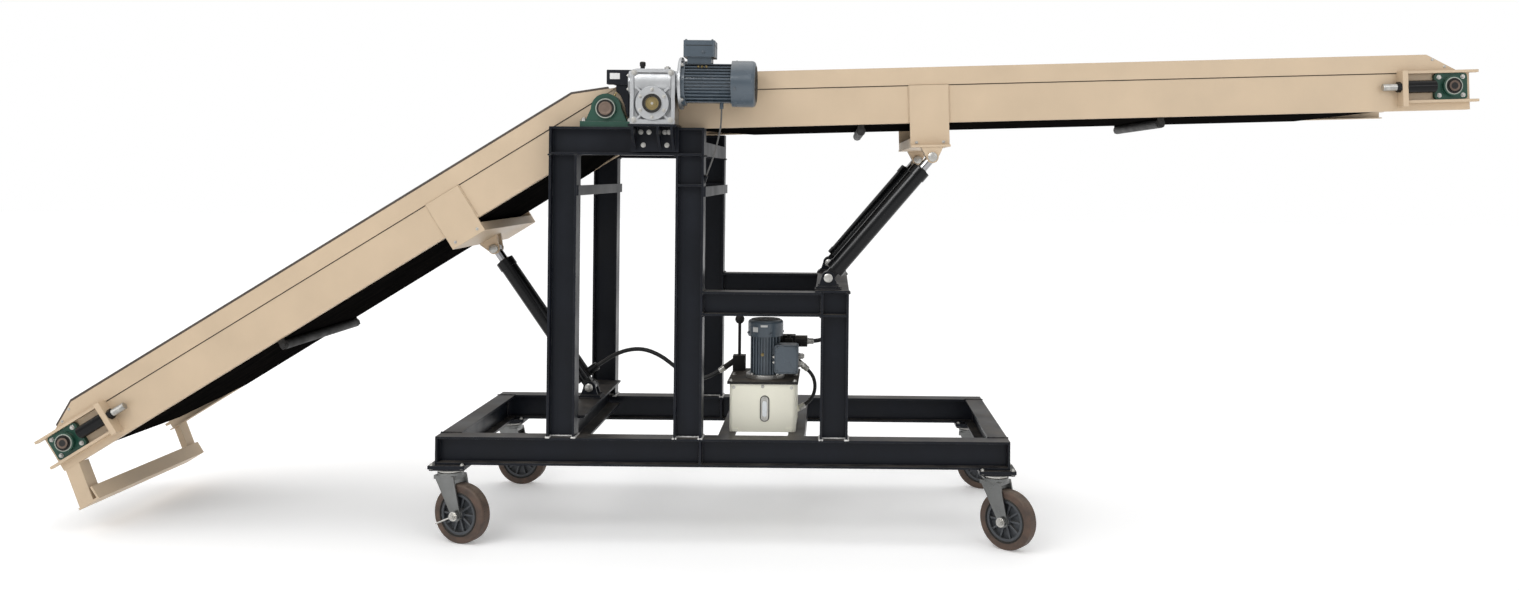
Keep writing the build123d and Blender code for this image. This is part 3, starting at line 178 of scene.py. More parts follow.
def new_group(name, kind, inputs, outputs):
    tree = bpy.data.node_groups.new(name, kind)
    for label, (socket, value) in inputs.items():
        item = tree.interface.new_socket(label, in_out="INPUT", socket_type=socket)
        if value is not None:
            item.default_value = value
    for label, socket in outputs.items():
        tree.interface.new_socket(label, in_out="OUTPUT", socket_type=socket)
    return tree, tree.nodes.new("NodeGroupInput").outputs, tree.nodes.new("NodeGroupOutput").inputs


def math_node(tree, operation, first, second=0.0, clamp=False):
    node = add_node(tree, "ShaderNodeMath", {0: first, 1: second}, operation=operation, use_clamp=clamp)
    return node.outputs[0]


def mix_colour(tree, factor, first, second):
    mix_a, mix_b = 6, 7
    node = add_node(tree, "ShaderNodeMix", {0: factor, mix_a: first, mix_b: second}, data_type="RGBA")
    return node.outputs[2]


def noise(tree, scale, detail=4.0, stretch=(1, 1, 1)):
    """Noise in the object's own coordinates, stretched along each axis."""
    place = add_node(tree, "ShaderNodeTexCoord").outputs["Object"]
    drawn = add_node(tree, "ShaderNodeMapping", {"Vector": place, "Scale": stretch}).outputs[0]
    cloud = add_node(tree, "ShaderNodeTexNoise", {"Vector": drawn, "Scale": scale, "Detail": detail})
    return cloud.outputs[0]


def spread(tree, value, low, high):
    """The value stretched so that low gives nought and high gives one."""
    return add_node(tree, "ShaderNodeMapRange", {0: value, 1: low, 2: high}).outputs[0]


# Effects that several finishes share
def edge_wear_group():
    sockets = {
        "Radius": ("NodeSocketFloat", 0.003),
        "Amount": ("NodeSocketFloat", 0.5),
        "Scale": ("NodeSocketFloat", 40.0),
    }
    tree, given, out = new_group("Edge wear", "ShaderNodeTree", sockets, {"Mask": "NodeSocketFloat"})
    bevel = add_node(tree, "ShaderNodeBevel", {"Radius": given["Radius"]}, samples=4)
    flat = add_node(tree, "ShaderNodeNewGeometry").outputs["Normal"]
    dot = add_node(tree, "ShaderNodeVectorMath", {0: bevel.outputs[0], 1: flat}, operation="DOT_PRODUCT")
    edge = math_node(tree, "SUBTRACT", 1.0, dot.outputs["Value"])
    sharp = spread(tree, edge, 0.02, 0.22)
    patches = spread(tree, noise(tree, given["Scale"]), 0.36, 0.62)
    worn = math_node(tree, "MULTIPLY", sharp, patches)
    tree.links.new(math_node(tree, "MULTIPLY", worn, given["Amount"], clamp=True), out["Mask"])


def dust_group():
    sockets = {"Amount": ("NodeSocketFloat", 0.3), "Scale": ("NodeSocketFloat", 18.0)}
    tree, given, out = new_group("Dust film", "ShaderNodeTree", sockets, {"Mask": "NodeSocketFloat"})
    normal = add_node(tree, "ShaderNodeNewGeometry").outputs["Normal"]
    upward = add_node(tree, "ShaderNodeSeparateXYZ", {0: normal}).outputs["Z"]
    lying = spread(tree, upward, 0.35, 1.0)
    patches = spread(tree, noise(tree, given["Scale"], 6.0), 0.25, 0.75)
    film = math_node(tree, "MULTIPLY", lying, patches)
    tree.links.new(math_node(tree, "MULTIPLY", film, given["Amount"], clamp=True), out["Mask"])


def grain_group():
    sockets = {"Fine": ("NodeSocketFloat", 600.0), "Broad": ("NodeSocketFloat", 7.0)}
    outputs = {"Height": "NodeSocketFloat", "Tone": "NodeSocketFloat", "Streak": "NodeSocketFloat"}
    tree, given, out = new_group("Paint grain", "ShaderNodeTree", sockets, outputs)
    tree.links.new(noise(tree, given["Fine"], 3.0), out["Height"])
    tree.links.new(spread(tree, noise(tree, given["Broad"], 5.0), 0.3, 0.7), out["Tone"])
    runs = noise(tree, given["Broad"], 6.0, (6.0, 6.0, 0.6))
    tree.links.new(spread(tree, runs, 0.42, 0.72), out["Streak"])


# Finishes
FINISH_PREFIX = "finish_"
PAINT_EDGE = 0.0015
CASTING_FRONT = at(0, -513, 0).y
DUST_COLOUR = (0.36, 0.31, 0.25)
# Colour of the painted shade in the gearbox's front pocket
PAINTED_SHADE_COLOUR = (0.085, 0.088, 0.092)


def use_group(tree, name, **values):
    node = add_node(tree, "ShaderNodeGroup", node_tree=bpy.data.node_groups[name])
    for key, value in values.items():
        node.inputs[key].default_value = value
    return node.outputs


def start_finish(name):
    material = bpy.data.materials.new(FINISH_PREFIX + name)
    material.use_nodes = True
    tree = material.node_tree
    return tree, tree.nodes["Principled BSDF"]


def rgba(colour):
    return (*colour, 1.0)


def shade(colour, share):
    return tuple(channel * share for channel in colour)


def finish_surface(tree, shader, height, depth, edge_radius):
    """Softened edges with fine relief on top."""
    soft = add_node(tree, "ShaderNodeBevel", {"Radius": edge_radius}, samples=4).outputs[0]
    relief = {"Strength": 0.6, "Distance": depth, "Height": height, "Normal": soft}
    bump = add_node(tree, "ShaderNodeBump", relief)
    tree.links.new(bump.outputs[0], shader.inputs["Normal"])


def painted(
    name, colour, rough, bare, wear, dust, tone=0.12, fine=700.0, depth=0.00015, metal=0.0, gloss=0.5
):
    """Paint with uneven tone, faint runs, rubbed edges and lying dust."""
    tree, shader = start_finish(name)
    grain = use_group(tree, "Paint grain", Fine=fine, Broad=6.0)
    worn = use_group(tree, "Edge wear", Amount=wear, Radius=2 * PAINT_EDGE, Scale=35.0)["Mask"]
    film = use_group(tree, "Dust film", Amount=dust, Scale=14.0)["Mask"]
    dark, light = shade(colour, 1 - tone), shade(colour, 1 + tone / 2)
    base = mix_colour(tree, grain["Tone"], rgba(dark), rgba(light))
    streak = math_node(tree, "MULTIPLY", grain["Streak"], tone * 0.6)
    base = mix_colour(tree, streak, base, rgba(shade(colour, 0.72)))
    base = mix_colour(tree, worn, base, rgba(bare))
    base = mix_colour(tree, film, base, rgba(DUST_COLOUR))
    tree.links.new(base, shader.inputs["Base Color"])
    uneven = math_node(tree, "MULTIPLY_ADD", grain["Tone"], 0.16)
    uneven.node.inputs[2].default_value = rough - 0.08
    dusty = math_node(tree, "MULTIPLY", film, 0.5)
    tree.links.new(math_node(tree, "ADD", uneven, dusty, True), shader.inputs["Roughness"])
    shader.inputs["Metallic"].default_value = metal
    shader.inputs["Specular IOR Level"].default_value = gloss
    finish_surface(tree, shader, grain["Height"], depth, PAINT_EDGE)


def recess_painted_shade(tree):
    """Painted shade: mask of the gearbox faces that look forward from behind its front rim."""
    place = add_node(tree, "ShaderNodeTexCoord").outputs["Object"]
    normal = add_node(tree, "ShaderNodeNewGeometry").outputs["Normal"]
    depth = add_node(tree, "ShaderNodeSeparateXYZ", {0: place}).outputs["Y"]
    look = add_node(tree, "ShaderNodeSeparateXYZ", {0: normal}).outputs["Y"]
    behind = spread(tree, depth, CASTING_FRONT + 0.001, CASTING_FRONT + 0.006)
    return math_node(tree, "MULTIPLY", behind, spread(tree, look, -0.4, -0.9))


def cast_metal(name, colour, rough, depth, fine, dark, metal=0.9, painted_shade=0.0):
    """Cast or turned metal, darker in broad patches, with painted shade in the gearbox's front pocket when asked.
    """
    tree, shader = start_finish(name)
    grain = use_group(tree, "Paint grain", Fine=fine, Broad=16.0)
    worn = use_group(tree, "Edge wear", Amount=0.7, Radius=0.002, Scale=60.0)["Mask"]
    base = mix_colour(tree, grain["Tone"], rgba(shade(colour, 1 - dark)), rgba(colour))
    base = mix_colour(tree, worn, base, rgba(tuple(min(1.0, c * 1.35) for c in colour)))
    # Painted shade: darkens the faces in the front pocket behind the gearbox's rim
    if painted_shade:
        shaded = math_node(tree, "MULTIPLY", recess_painted_shade(tree), painted_shade)
        base = mix_colour(tree, shaded, base, rgba(PAINTED_SHADE_COLOUR))
    tree.links.new(base, shader.inputs["Base Color"])
    uneven = math_node(tree, "MULTIPLY_ADD", grain["Tone"], -0.18)
    uneven.node.inputs[2].default_value = rough + 0.09
    tree.links.new(uneven, shader.inputs["Roughness"])
    shader.inputs["Metallic"].default_value = metal
    finish_surface(tree, shader, grain["Height"], depth, 0.001)


def belt_rubber():
    """Belt cover with its fabric print and scuffs along the run."""
    tree, shader = start_finish("belt_rubber")
    place = add_node(tree, "ShaderNodeTexCoord").outputs["Object"]
    weave = add_node(tree, "ShaderNodeTexWave", {"Vector": place, "Scale": 160.0, "Distortion": 0.4})
    weave.bands_direction = "Y"
    scuff = spread(tree, noise(tree, 9.0, 6.0, (1.0, 7.0, 1.0)), 0.45, 0.75)
    base = mix_colour(tree, scuff, rgba((0.0034, 0.0033, 0.0033)), rgba((0.0105, 0.0092, 0.0082)))
    tree.links.new(base, shader.inputs["Base Color"])
    tree.links.new(spread(tree, scuff, -1.4, 2.0), shader.inputs["Roughness"])
    shader.inputs["Specular IOR Level"].default_value = 0.0
    finish_surface(tree, shader, weave.outputs["Fac"], 0.0003, 0.0008)


def tyre_rubber(colour):
    tree, shader = start_finish("tyre_brown")
    mottle = spread(tree, noise(tree, 30.0, 8.0), 0.3, 0.7)
    film = use_group(tree, "Dust film", Amount=0.5, Scale=40.0)["Mask"]
    base = mix_colour(tree, mottle, rgba(shade(colour, 0.55)), rgba(shade(colour, 1.25)))
    base = mix_colour(tree, film, base, rgba((0.30, 0.24, 0.18)))
    tree.links.new(base, shader.inputs["Base Color"])
    tree.links.new(spread(tree, mottle, -2.2, 1.6), shader.inputs["Roughness"])
    finish_surface(tree, shader, noise(tree, 350.0, 3.0), 0.0004, 0.002)


def clear_plastic():
    tree, shader = start_finish("gauge_window")
    tint = mix_colour(tree, noise(tree, 120.0), rgba((0.55, 0.58, 0.60)), rgba((0.78, 0.80, 0.82)))
    tree.links.new(tint, shader.inputs["Base Color"])
    shader.inputs["Roughness"].default_value = 0.12
    shader.inputs["Coat Weight"].default_value = 0.8


def make_finishes():
    paint = bpy.context.scene.conveyor_paint
    edge_wear_group()
    dust_group()
    grain_group()
    wear, dust = paint.wear, paint.dust
    grey = (0.11, 0.105, 0.10)
    # Colour, roughness, bare colour, wear, dust, then tone, grain scale, grain depth and metal
    painted("frame_black", paint.black, 0.36, grey, wear, dust, 0.30, 240.0, 0.00012, gloss=0.16)
    painted("boom_sand", paint.sand, 0.46, (0.30, 0.21, 0.12), 0.5 * wear, 0.25 * dust, 0.06)
    cast, housing = (0.16, 0.17, 0.15), (0.24, 0.25, 0.26)
    painted("bearing_green", paint.green, 0.38, cast, wear, dust, 0.30, 420.0, 0.0003, gloss=0.35)
    painted("motor_grey", paint.motor, 0.28, housing, 0.6 * wear, dust, 0.16, 500.0, 0.0002, gloss=0.55)
    painted("tank_cream", paint.cream, 0.40, (0.34, 0.26, 0.16), 0.6 * wear, 0.6 * dust, 0.06)
    painted("lid_dark", (0.014, 0.013, 0.013), 0.48, grey, wear, 1.6 * dust, 0.30, 300.0, gloss=0.2)
    barrel = (0.0036, 0.0040, 0.0048)
    painted("cylinder_black", barrel, 0.20, grey, 0.3 * wear, 0.2 * dust, 0.2, 60.0, 0.000004, gloss=0.22)
    fork, hub = (0.190, 0.195, 0.192), (0.060, 0.066, 0.074)
    painted("fork_grey", fork, 0.30, (0.42, 0.40, 0.37), wear, dust, 0.45, 300.0, 0.0002, 0.85)
    painted("hub_grey", hub, 0.46, (0.22, 0.22, 0.22), wear, dust, 0.25, 300.0, 0.0002, 0.2)
    sleeve = (0.0042, 0.0044, 0.0050)
    painted("screw_steel", sleeve, 0.22, grey, 0.4 * wear, 0.2 * dust, 0.2, 60.0, 0.00001, gloss=0.2)
    # Dark brown line: painted shadow under the boom guards, and the dark joint between the discharge boom's panels
    painted("seam", (0.050, 0.036, 0.022), 0.7, (0.08, 0.06, 0.04), 0.0, 0.1, 0.3)
    painted("skirt", (0.070, 0.053, 0.042), 0.72, (0.14, 0.11, 0.09), 0.3, 0.2, 0.30, 300.0, 0.0004)
    painted("plate", (0.70, 0.70, 0.69), 0.35, (0.4, 0.4, 0.4), 0.2, 0.1, 0.06)
    painted("seal", (0.36, 0.39, 0.34), 0.45, (0.3, 0.3, 0.3), 0.3, 0.2, 0.3)
    painted("seal_dark", (0.016, 0.015, 0.013), 0.5, (0.06, 0.06, 0.05), 0.3, 0.2, 0.3, gloss=0.25)
    hose = (0.007, 0.007, 0.0075)
    painted("hose_black", hose, 0.40, (0.04, 0.04, 0.04), 0.1, 0.4 * dust, 0.25, 420.0, gloss=0.3)
    painted("cable_grey", (0.085, 0.083, 0.080), 0.5, (0.2, 0.2, 0.2), 0.1, 0.3 * dust, 0.15)
    # Colour, roughness, grain depth, grain scale, dark patches, then metal
    # The gearbox gets painted shade in its front pocket
    cast_metal("gearbox_aluminium", (0.50, 0.51, 0.52), 0.36, 0.0005, 700.0, 0.34, painted_shade=0.5)
    cast_metal("shaft_steel", (0.20, 0.145, 0.115), 0.46, 0.0002, 700.0, 0.45, 0.7)
    cast_metal("roller_dark", (0.013, 0.012, 0.011), 0.62, 0.0002, 700.0, 0.45, 0.1)
    cast_metal("bed_steel", (0.32, 0.31, 0.30), 0.44, 0.0002, 500.0, 0.4)
    cast_metal("rod_chrome", (0.36, 0.36, 0.37), 0.10, 0.00005, 400.0, 0.2, 1.0)
    cast_metal("zinc", (0.56, 0.55, 0.52), 0.36, 0.0001, 800.0, 0.40)
    cast_metal("weld", (0.78, 0.77, 0.75), 0.46, 0.0003, 500.0, 0.45, 0.25)
    cast_metal("brass", (0.36, 0.28, 0.13), 0.34, 0.0002, 700.0, 0.5)
    belt_rubber()
    tyre_rubber(paint.tyre)
    clear_plastic()


def finish_of(name):
    return bpy.data.materials[FINISH_PREFIX + name]


def paint_nodes():
    """Gives every node the finish of its slot in the record; the pulleys are darker than their shafts."""
    for part in frame["record"]["subparts"]:
        name, slot = part["node"], part["material_slot"]
        mesh = frame["nodes"][name].data
        mesh.materials.clear()
        mesh.materials.append(finish_of("roller_dark" if name.endswith("_pulleys") else slot))


# Mesh helpers
def facing(point, normal):
    """Matrix whose own Z looks along the normal from the point."""
    turn = Vector(normal).to_track_quat("Z", "Y").to_matrix().to_4x4()
    return Matrix.Translation(Vector(point)) @ turn


def lathe(bm, profile, place, steps=32):
    """Turns a profile of radius and height about the place's own Z, into a closed shell."""
    rings = []
    for radius, height in profile:
        if radius == 0:
            rings.append([bm.verts.new(place @ Vector((0, 0, height)))])
            continue
        ring = []
        for step in range(steps):
            turn = math.tau * step / steps
            spot = Vector((radius * math.cos(turn), radius * math.sin(turn), height))
            ring.append(bm.verts.new(place @ spot))
        rings.append(ring)
    if len(rings[0]) > 1 and len(rings[-1]) > 1:
        rings.append(rings[0])
    elif len(rings[-1]) > 1:
        rings.append([bm.verts.new(place @ Vector((0, 0, profile[-1][1])))])
    for low, high in zip(rings, rings[1:]):
        for step in range(steps):
            after = (step + 1) % steps
            corners = [low[step % len(low)], low[after % len(low)]]
            corners += [high[after % len(high)], high[step % len(high)]]
            unique = list(dict.fromkeys(corners))
            if len(unique) > 2:
                bm.faces.new(unique)


def prism(bm, outline, place, depth):
    """Raises a flat outline along the place's own Z."""
    low = [bm.verts.new(place @ Vector((x, y, 0))) for x, y in outline]
    high = [bm.verts.new(place @ Vector((x, y, depth))) for x, y in outline]
    bm.faces.new(list(reversed(low)))
    bm.faces.new(high)
    for step in range(len(outline)):
        after = (step + 1) % len(outline)
        bm.faces.new((low[step], low[after], high[after], high[step]))


def slab(bm, place, size):
    """A flat bar that stands on the place, centred across it, its size along the place's own axes."""
    wide, tall, deep = size
    outline = [(-wide / 2, -tall / 2), (wide / 2, -tall / 2), (wide / 2, tall / 2), (-wide / 2, tall / 2)]
    prism(bm, outline, place, deep)


def ribbon(bm, points, place, rise, depth):
    """A strip that follows points on a plane, raised above them and as deep as given."""
    for (x0, y0), (x1, y1) in zip(points, points[1:]):
        prism(bm, [(x0, y0), (x1, y1), (x1, y1 + rise), (x0, y0 + rise)], place, depth)


def piece(name, bm_or_mesh, body, material, bevel=0.0):
    """Makes a shown piece at the origin, on its body and in its slot."""
    mesh = bm_or_mesh
    if isinstance(bm_or_mesh, bmesh.types.BMesh):
        mesh = bpy.data.meshes.new(name)
        bmesh.ops.recalc_face_normals(bm_or_mesh, faces=bm_or_mesh.faces)
        bm_or_mesh.to_mesh(mesh)
        bm_or_mesh.free()
        mesh.materials.append(finish_of(material))
        mesh.shade_smooth()
        mesh.set_sharp_from_angle(angle=math.radians(32))
    made = bpy.data.objects.new(name, mesh)
    bpy.context.scene.collection.objects.link(made)
    if bevel:
        rounded = made.modifiers.new("Rounded edges", "BEVEL")
        rounded.width = bevel
        rounded.segments = 2
        rounded.limit_method = "ANGLE"
    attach(made, body)


def turned(name, profile, places, steps, material, body="chassis"):
    """A piece with one profile turned at each place."""
    bm = bmesh.new()
    for place in places:
        lathe(bm, profile, place, steps)
    piece(name, bm, body, material)


def bars(name, sizes, material, bevel=0.0):
    """A piece of flat bars on the chassis, each given by its place and size."""
    bm = bmesh.new()
    for place, size in sizes:
        slab(bm, place, size)
    piece(name, bm, "chassis", material, bevel)


def circle(centre, first, second, radius, count):
    """Points spaced evenly round a centre in the plane of two directions, half a step past the first."""
    turns = [math.tau * (step + 0.5) / count for step in range(count)]
    return [centre + radius * (math.cos(turn) * first + math.sin(turn) * second) for turn in turns]


# Geometry node trees for what repeats
def evaluated(name, mesh, tree, values):
    """Runs a tree on a mesh and gives back the plain mesh."""
    holder = bpy.data.objects.new(name + "_points", mesh)
    bpy.context.scene.collection.objects.link(holder)
    modifier = holder.modifiers.new("Repeat", "NODES")
    modifier.node_group = tree
    for item in tree.interface.items_tree:
        if item.in_out == "INPUT" and item.name in values:
            modifier[item.identifier] = values[item.name]
    graph = bpy.context.evaluated_depsgraph_get()
    made = bpy.data.meshes.new_from_object(holder.evaluated_get(graph), depsgraph=graph)
    made.name = name
    bpy.data.objects.remove(holder)
    return made


def close_tree(tree, out, shape, given):
    real = add_node(tree, "GeometryNodeRealizeInstances", {0: shape})
    finished = {"Geometry": real.outputs[0], "Material": given["Finish"]}
    done = add_node(tree, "GeometryNodeSetMaterial", finished)
    tree.links.new(done.outputs[0], out["Geometry"])


def disc(tree, sides, radius, depth, lift):
    """A cylinder standing on a height."""
    drum = add_node(tree, "GeometryNodeMeshCylinder", {"Vertices": sides, "Radius": radius, "Depth": depth})
    raised = math_node(tree, "ADD", lift, math_node(tree, "MULTIPLY", depth, 0.5))
    offset = add_node(tree, "ShaderNodeCombineXYZ", {"Z": raised}).outputs[0]
    lifted = {"Geometry": drum.outputs["Mesh"], "Translation": offset}
    return add_node(tree, "GeometryNodeTransform", lifted).outputs[0]


def bolt_tree():
    """A washer, hexagon head and thread end on every point, in shares of the thread size."""
    sockets = {
        "Geometry": ("NodeSocketGeometry", None),
        "Head Radius": ("NodeSocketFloat", 0.95),
        "Head Height": ("NodeSocketFloat", 0.65),
        "Washer Radius": ("NodeSocketFloat", 1.25),
        "Washer Height": ("NodeSocketFloat", 0.18),
        "Thread Height": ("NodeSocketFloat", 0.30),
        "Finish": ("NodeSocketMaterial", None),
    }
    tree, given, out = new_group("Hex bolts", "GeometryNodeTree", sockets, {"Geometry": "NodeSocketGeometry"})
    washer_sides, head_sides, thread_sides, thread_radius = 20, 6, 12, 0.5
    head_low = given["Washer Height"]
    head_top = math_node(tree, "ADD", head_low, given["Head Height"])
    washer = disc(tree, washer_sides, given["Washer Radius"], given["Washer Height"], 0.0)
    head = disc(tree, head_sides, given["Head Radius"], given["Head Height"], head_low)
    thread = disc(tree, thread_sides, thread_radius, given["Thread Height"], head_top)
    bolt = tree.nodes.new("GeometryNodeJoinGeometry")
    for part in (washer, head, thread):
        tree.links.new(part, bolt.inputs[0])
    normal = add_node(tree, "GeometryNodeInputNamedAttribute", {"Name": "facing"}, data_type="FLOAT_VECTOR")
    size = add_node(tree, "GeometryNodeInputNamedAttribute", {"Name": "thread"}, data_type="FLOAT")
    way = {"Vector": normal.outputs["Attribute"]}
    turn = add_node(tree, "FunctionNodeAlignRotationToVector", way, axis="Z")
    placed = add_node(
        tree,
        "GeometryNodeInstanceOnPoints",
        {
            "Points": given["Geometry"],
            "Instance": bolt.outputs[0],
            "Rotation": turn.outputs[0],
            "Scale": size.outputs["Attribute"],
        },
    )
    close_tree(tree, out, placed.outputs[0], given)


def weld_tree():
    """Overlapping ripples of weld metal along every edge of the mesh."""
    sockets = {
        "Geometry": ("NodeSocketGeometry", None),
        "Half Width": ("NodeSocketFloat", 0.004),
        "Pitch": ("NodeSocketFloat", 0.0045),
        "Finish": ("NodeSocketMaterial", None),
    }
    result = {"Geometry": "NodeSocketGeometry"}
    tree, given, out = new_group("Weld beads", "GeometryNodeTree", sockets, result)
    line = add_node(tree, "GeometryNodeMeshToCurve", {"Mesh": given["Geometry"]})
    even = add_node(tree, "GeometryNodeResampleCurve", {"Curve": line.outputs[0]}, mode="LENGTH")
    tree.links.new(given["Pitch"], even.inputs["Length"])
    ripple = {"Segments": 8, "Rings": 5, "Radius": given["Half Width"]}
    drop = add_node(tree, "GeometryNodeMeshUVSphere", ripple)
    uneven = add_node(tree, "FunctionNodeRandomValue", {0: (0.8, 0.8, 0.7), 1: (1.25, 1.25, 1.0), "Seed": 4})
    uneven.data_type = "FLOAT_VECTOR"
    placed = add_node(
        tree,
        "GeometryNodeInstanceOnPoints",
        {"Points": even.outputs[0], "Instance": drop.outputs["Mesh"], "Scale": uneven.outputs[0]},
    )
    smooth = add_node(tree, "GeometryNodeSetShadeSmooth", {0: placed.outputs[0]})
    close_tree(tree, out, smooth.outputs[0], given)


def bolt_piece(name, spots, body, material="zinc"):
    """Bolts at spots of point, normal and thread size."""
    mesh = bpy.data.meshes.new(name)
    mesh.from_pydata([tuple(point) for point, normal, thread in spots], [], [])
    mesh.attributes.new("facing", "FLOAT_VECTOR", "POINT")
    mesh.attributes.new("thread", "FLOAT", "POINT")
    normals = [share for point, normal, thread in spots for share in normal]
    mesh.attributes["facing"].data.foreach_set("vector", normals)
    mesh.attributes["thread"].data.foreach_set("value", [thread for point, normal, thread in spots])
    tree = bpy.data.node_groups["Hex bolts"]
    made = evaluated(name, mesh, tree, {"Finish": finish_of(material)})
    piece(name, made, body, material)


def weld_piece(name, lines, body, material="weld"):
    """Beads along lines, each a list of points."""
    points, edges = [], []
    for line in lines:
        start = len(points)
        points += [tuple(point) for point in line]
        edges += [(start + step, start + step + 1) for step in range(len(line) - 1)]
    mesh = bpy.data.meshes.new(name)
    mesh.from_pydata(points, edges, [])
    hardware = bpy.context.scene.conveyor_hardware
    values = {"Finish": finish_of(material), "Half Width": hardware.weld_size, "Pitch": hardware.weld_pitch}
    made = evaluated(name, mesh, bpy.data.node_groups["Weld beads"], values)
    piece(name, made, body, material)


# Stage
def studio_world(strength):
    """White behind the object, with soft light that is brighter overhead than at the sides."""
    world = bpy.data.worlds.new("studio")
    world.use_nodes = True
    tree = world.node_tree
    seen = tree.nodes["Background"]
    seen.inputs["Color"].default_value = (1.0, 1.0, 1.0, 1.0)
    seen.inputs["Strength"].default_value = strength
    way = add_node(tree, "ShaderNodeTexCoord").outputs["Generated"]
    height = add_node(tree, "ShaderNodeSeparateXYZ", {0: way}).outputs["Z"]
    below, overhead = 0.6, 1.4
    level = add_node(tree, "ShaderNodeMapRange", {0: height, 3: below, 4: overhead}).outputs[0]
    lit = add_node(tree, "ShaderNodeBackground", {"Strength": math_node(tree, "MULTIPLY", level, strength)})
    path = add_node(tree, "ShaderNodeLightPath").outputs["Is Camera Ray"]
    both = add_node(tree, "ShaderNodeMixShader", {0: path, 1: lit.outputs[0], 2: seen.outputs[0]})
    tree.links.new(both.outputs[0], tree.nodes["World Output"].inputs["Surface"])
    return world


def build_stage():
    stage = bpy.context.scene.conveyor_stage
    camera = bpy.data.objects.new("camera", bpy.data.cameras.new("camera"))
    bpy.context.scene.collection.objects.link(camera)
    camera.location = stage.camera_at
    level = Matrix.Rotation(math.radians(90), 4, "X")
    camera.rotation_euler = (level @ Matrix.Rotation(stage.roll, 4, "Z")).to_euler()
    camera.data.sensor_fit = "HORIZONTAL"
    camera.data.sensor_width = 36.0
    camera.data.lens = stage.lens
    camera.data.shift_x = -0.0477
    camera.data.shift_y = -0.0793
    camera.data.clip_end = 200.0
    bpy.context.scene.camera = camera

    floor_half = 30.0
    bm = bmesh.new()
    slab(bm, Matrix.Translation((0, 0, -0.02)), (2 * floor_half, 2 * floor_half, 0.02))
    mesh = bpy.data.meshes.new("floor")
    bm.to_mesh(mesh)
    bm.free()
    tree, shader = start_finish("studio_floor")
    tone = mix_colour(tree, noise(tree, 0.8), rgba((0.965, 0.965, 0.965)), rgba((0.98, 0.98, 0.98)))
    tree.links.new(tone, shader.inputs["Base Color"])
    shader.inputs["Roughness"].default_value = 0.85
    shader.inputs["Specular IOR Level"].default_value = 0.0
    shader.inputs["Emission Color"].default_value = rgba((1.0, 1.0, 1.0))
    shader.inputs["Emission Strength"].default_value = 0.2
    mesh.materials.append(finish_of("studio_floor"))
    floor = bpy.data.objects.new("floor", mesh)
    bpy.context.scene.collection.objects.link(floor)

    bpy.context.scene.world = studio_world(stage.light)
    bpy.context.scene.view_settings.view_transform = "Standard"
    soft_boxes = {
        "key": ((-2.6, -4.2, 4.4), (0.0, 0.0, 0.9), (3.6, 0.9), 62.0),
        "fill": ((3.4, -4.4, 2.6), (0.3, 0.0, 0.9), (2.4, 1.2), 25.0),
        "top": ((0.0, 0.4, 5.2), (0.0, 0.0, 0.8), (4.0, 4.0), 40.0),
        "sheen": ((-2.4, -4.4, 4.0), (0.2, 0.0, 1.2), (3.2, 1.2), 95.0),
    }
    for name, (stand, aim, (wide, tall), power) in soft_boxes.items():
        lamp = bpy.data.lights.new(name, "AREA")
        lamp.shape = "RECTANGLE"
        lamp.size = wide
        lamp.size_y = tall
        lamp.energy = power * stage.light
        lit = bpy.data.objects.new(name, lamp)
        lit.location = stand
        lit.rotation_euler = (Vector(stand) - Vector(aim)).to_track_quat("Z", "Y").to_euler()
        lit.visible_diffuse = name != "sheen"
        bpy.context.scene.collection.objects.link(lit)


# Boom dressing
def side_plane(place, along, side):
    """Matrix on the outer face of a boom's side panel, its X along the boom and its Y up."""
    upright = Matrix.Rotation(math.radians(90), 4, "X")
    return place @ Matrix.Translation((along, side * PANEL_Y, 0)) @ upright


def panel_line(place, along, wide, low):
    """Dark line on both side panels, from a low edge up to the guard's foot."""
    proud = 0.0008
    line = bmesh.new()
    for side in (-1, 1):
        corners = [(0, low), (wide, low), (wide, GUARD_LOW), (0, GUARD_LOW)]
        prism(line, corners, side_plane(place, along, side), -side * proud)
    return line


def boom_trim(name):
    place, body, length = boom_place(name), name + "_boom", BOOMS[name]["length"]
    shadow_line_tall, shadow_line_end = 0.0035, length - RAIL_START - 0.022
    # Painted shadow: a dark line just under each guard's lower edge, where the guard shades the panel
    seam = panel_line(place, 0.0, shadow_line_end, GUARD_LOW - shadow_line_tall)
    piece(name + "_guard_seams", seam, body, "seam")
    if name == "infeed":
        skirt = bmesh.new()
        rise, thick, lap = 0.009, 0.005, 0.006
        tops = ((-0.040, 0.064), (0.085, GUARD_UP), (length - 0.083, GUARD_UP), (length + 0.010, 0.066))
        line = [(along, top - lap) for along, top in tops]
        for side in (-1, 1):
            ribbon(skirt, line, side_plane(place, 0, side), lap + rise, side * thick)
        piece("infeed_skirt_strips", skirt, body, "skirt")
    else:
        joint_at, joint_wide = 0.224, 0.002
        joint = panel_line(place, joint_at, joint_wide, -PANEL_DOWN)
        piece("discharge_panel_joint", joint, body, "seam")


def bearing_rings(dark, pale, place, bore):
    """Dark insert and pale seal ring round a shaft, on the face of a bearing."""
    lathe(dark, [(bore, 0.0), (bore, 0.0014), (bore + 0.0065, 0.0014), (bore + 0.0070, 0.0)], place, 44)
    edge = bore + 0.0072
    seal = [(edge, 0.0), (edge + 0.0006, 0.0022), (edge + 0.0030, 0.0022), (edge + 0.0040, 0.0)]
    lathe(pale, seal, place, 44)


def shaft_end(bm, place, radius):
    """Turned end of a shaft with its centre hole and a raised rim."""
    shares = ((0.0, -0.002), (0.18, -0.002), (0.26, 0.0), (0.42, -0.0012), (0.74, 0.0008), (0.94, 0.0008))
    profile = [(radius * share, height) for share, height in shares]
    lathe(bm, profile + [(0.98 * radius, -0.001), (0.98 * radius, -0.004)], place, 40)


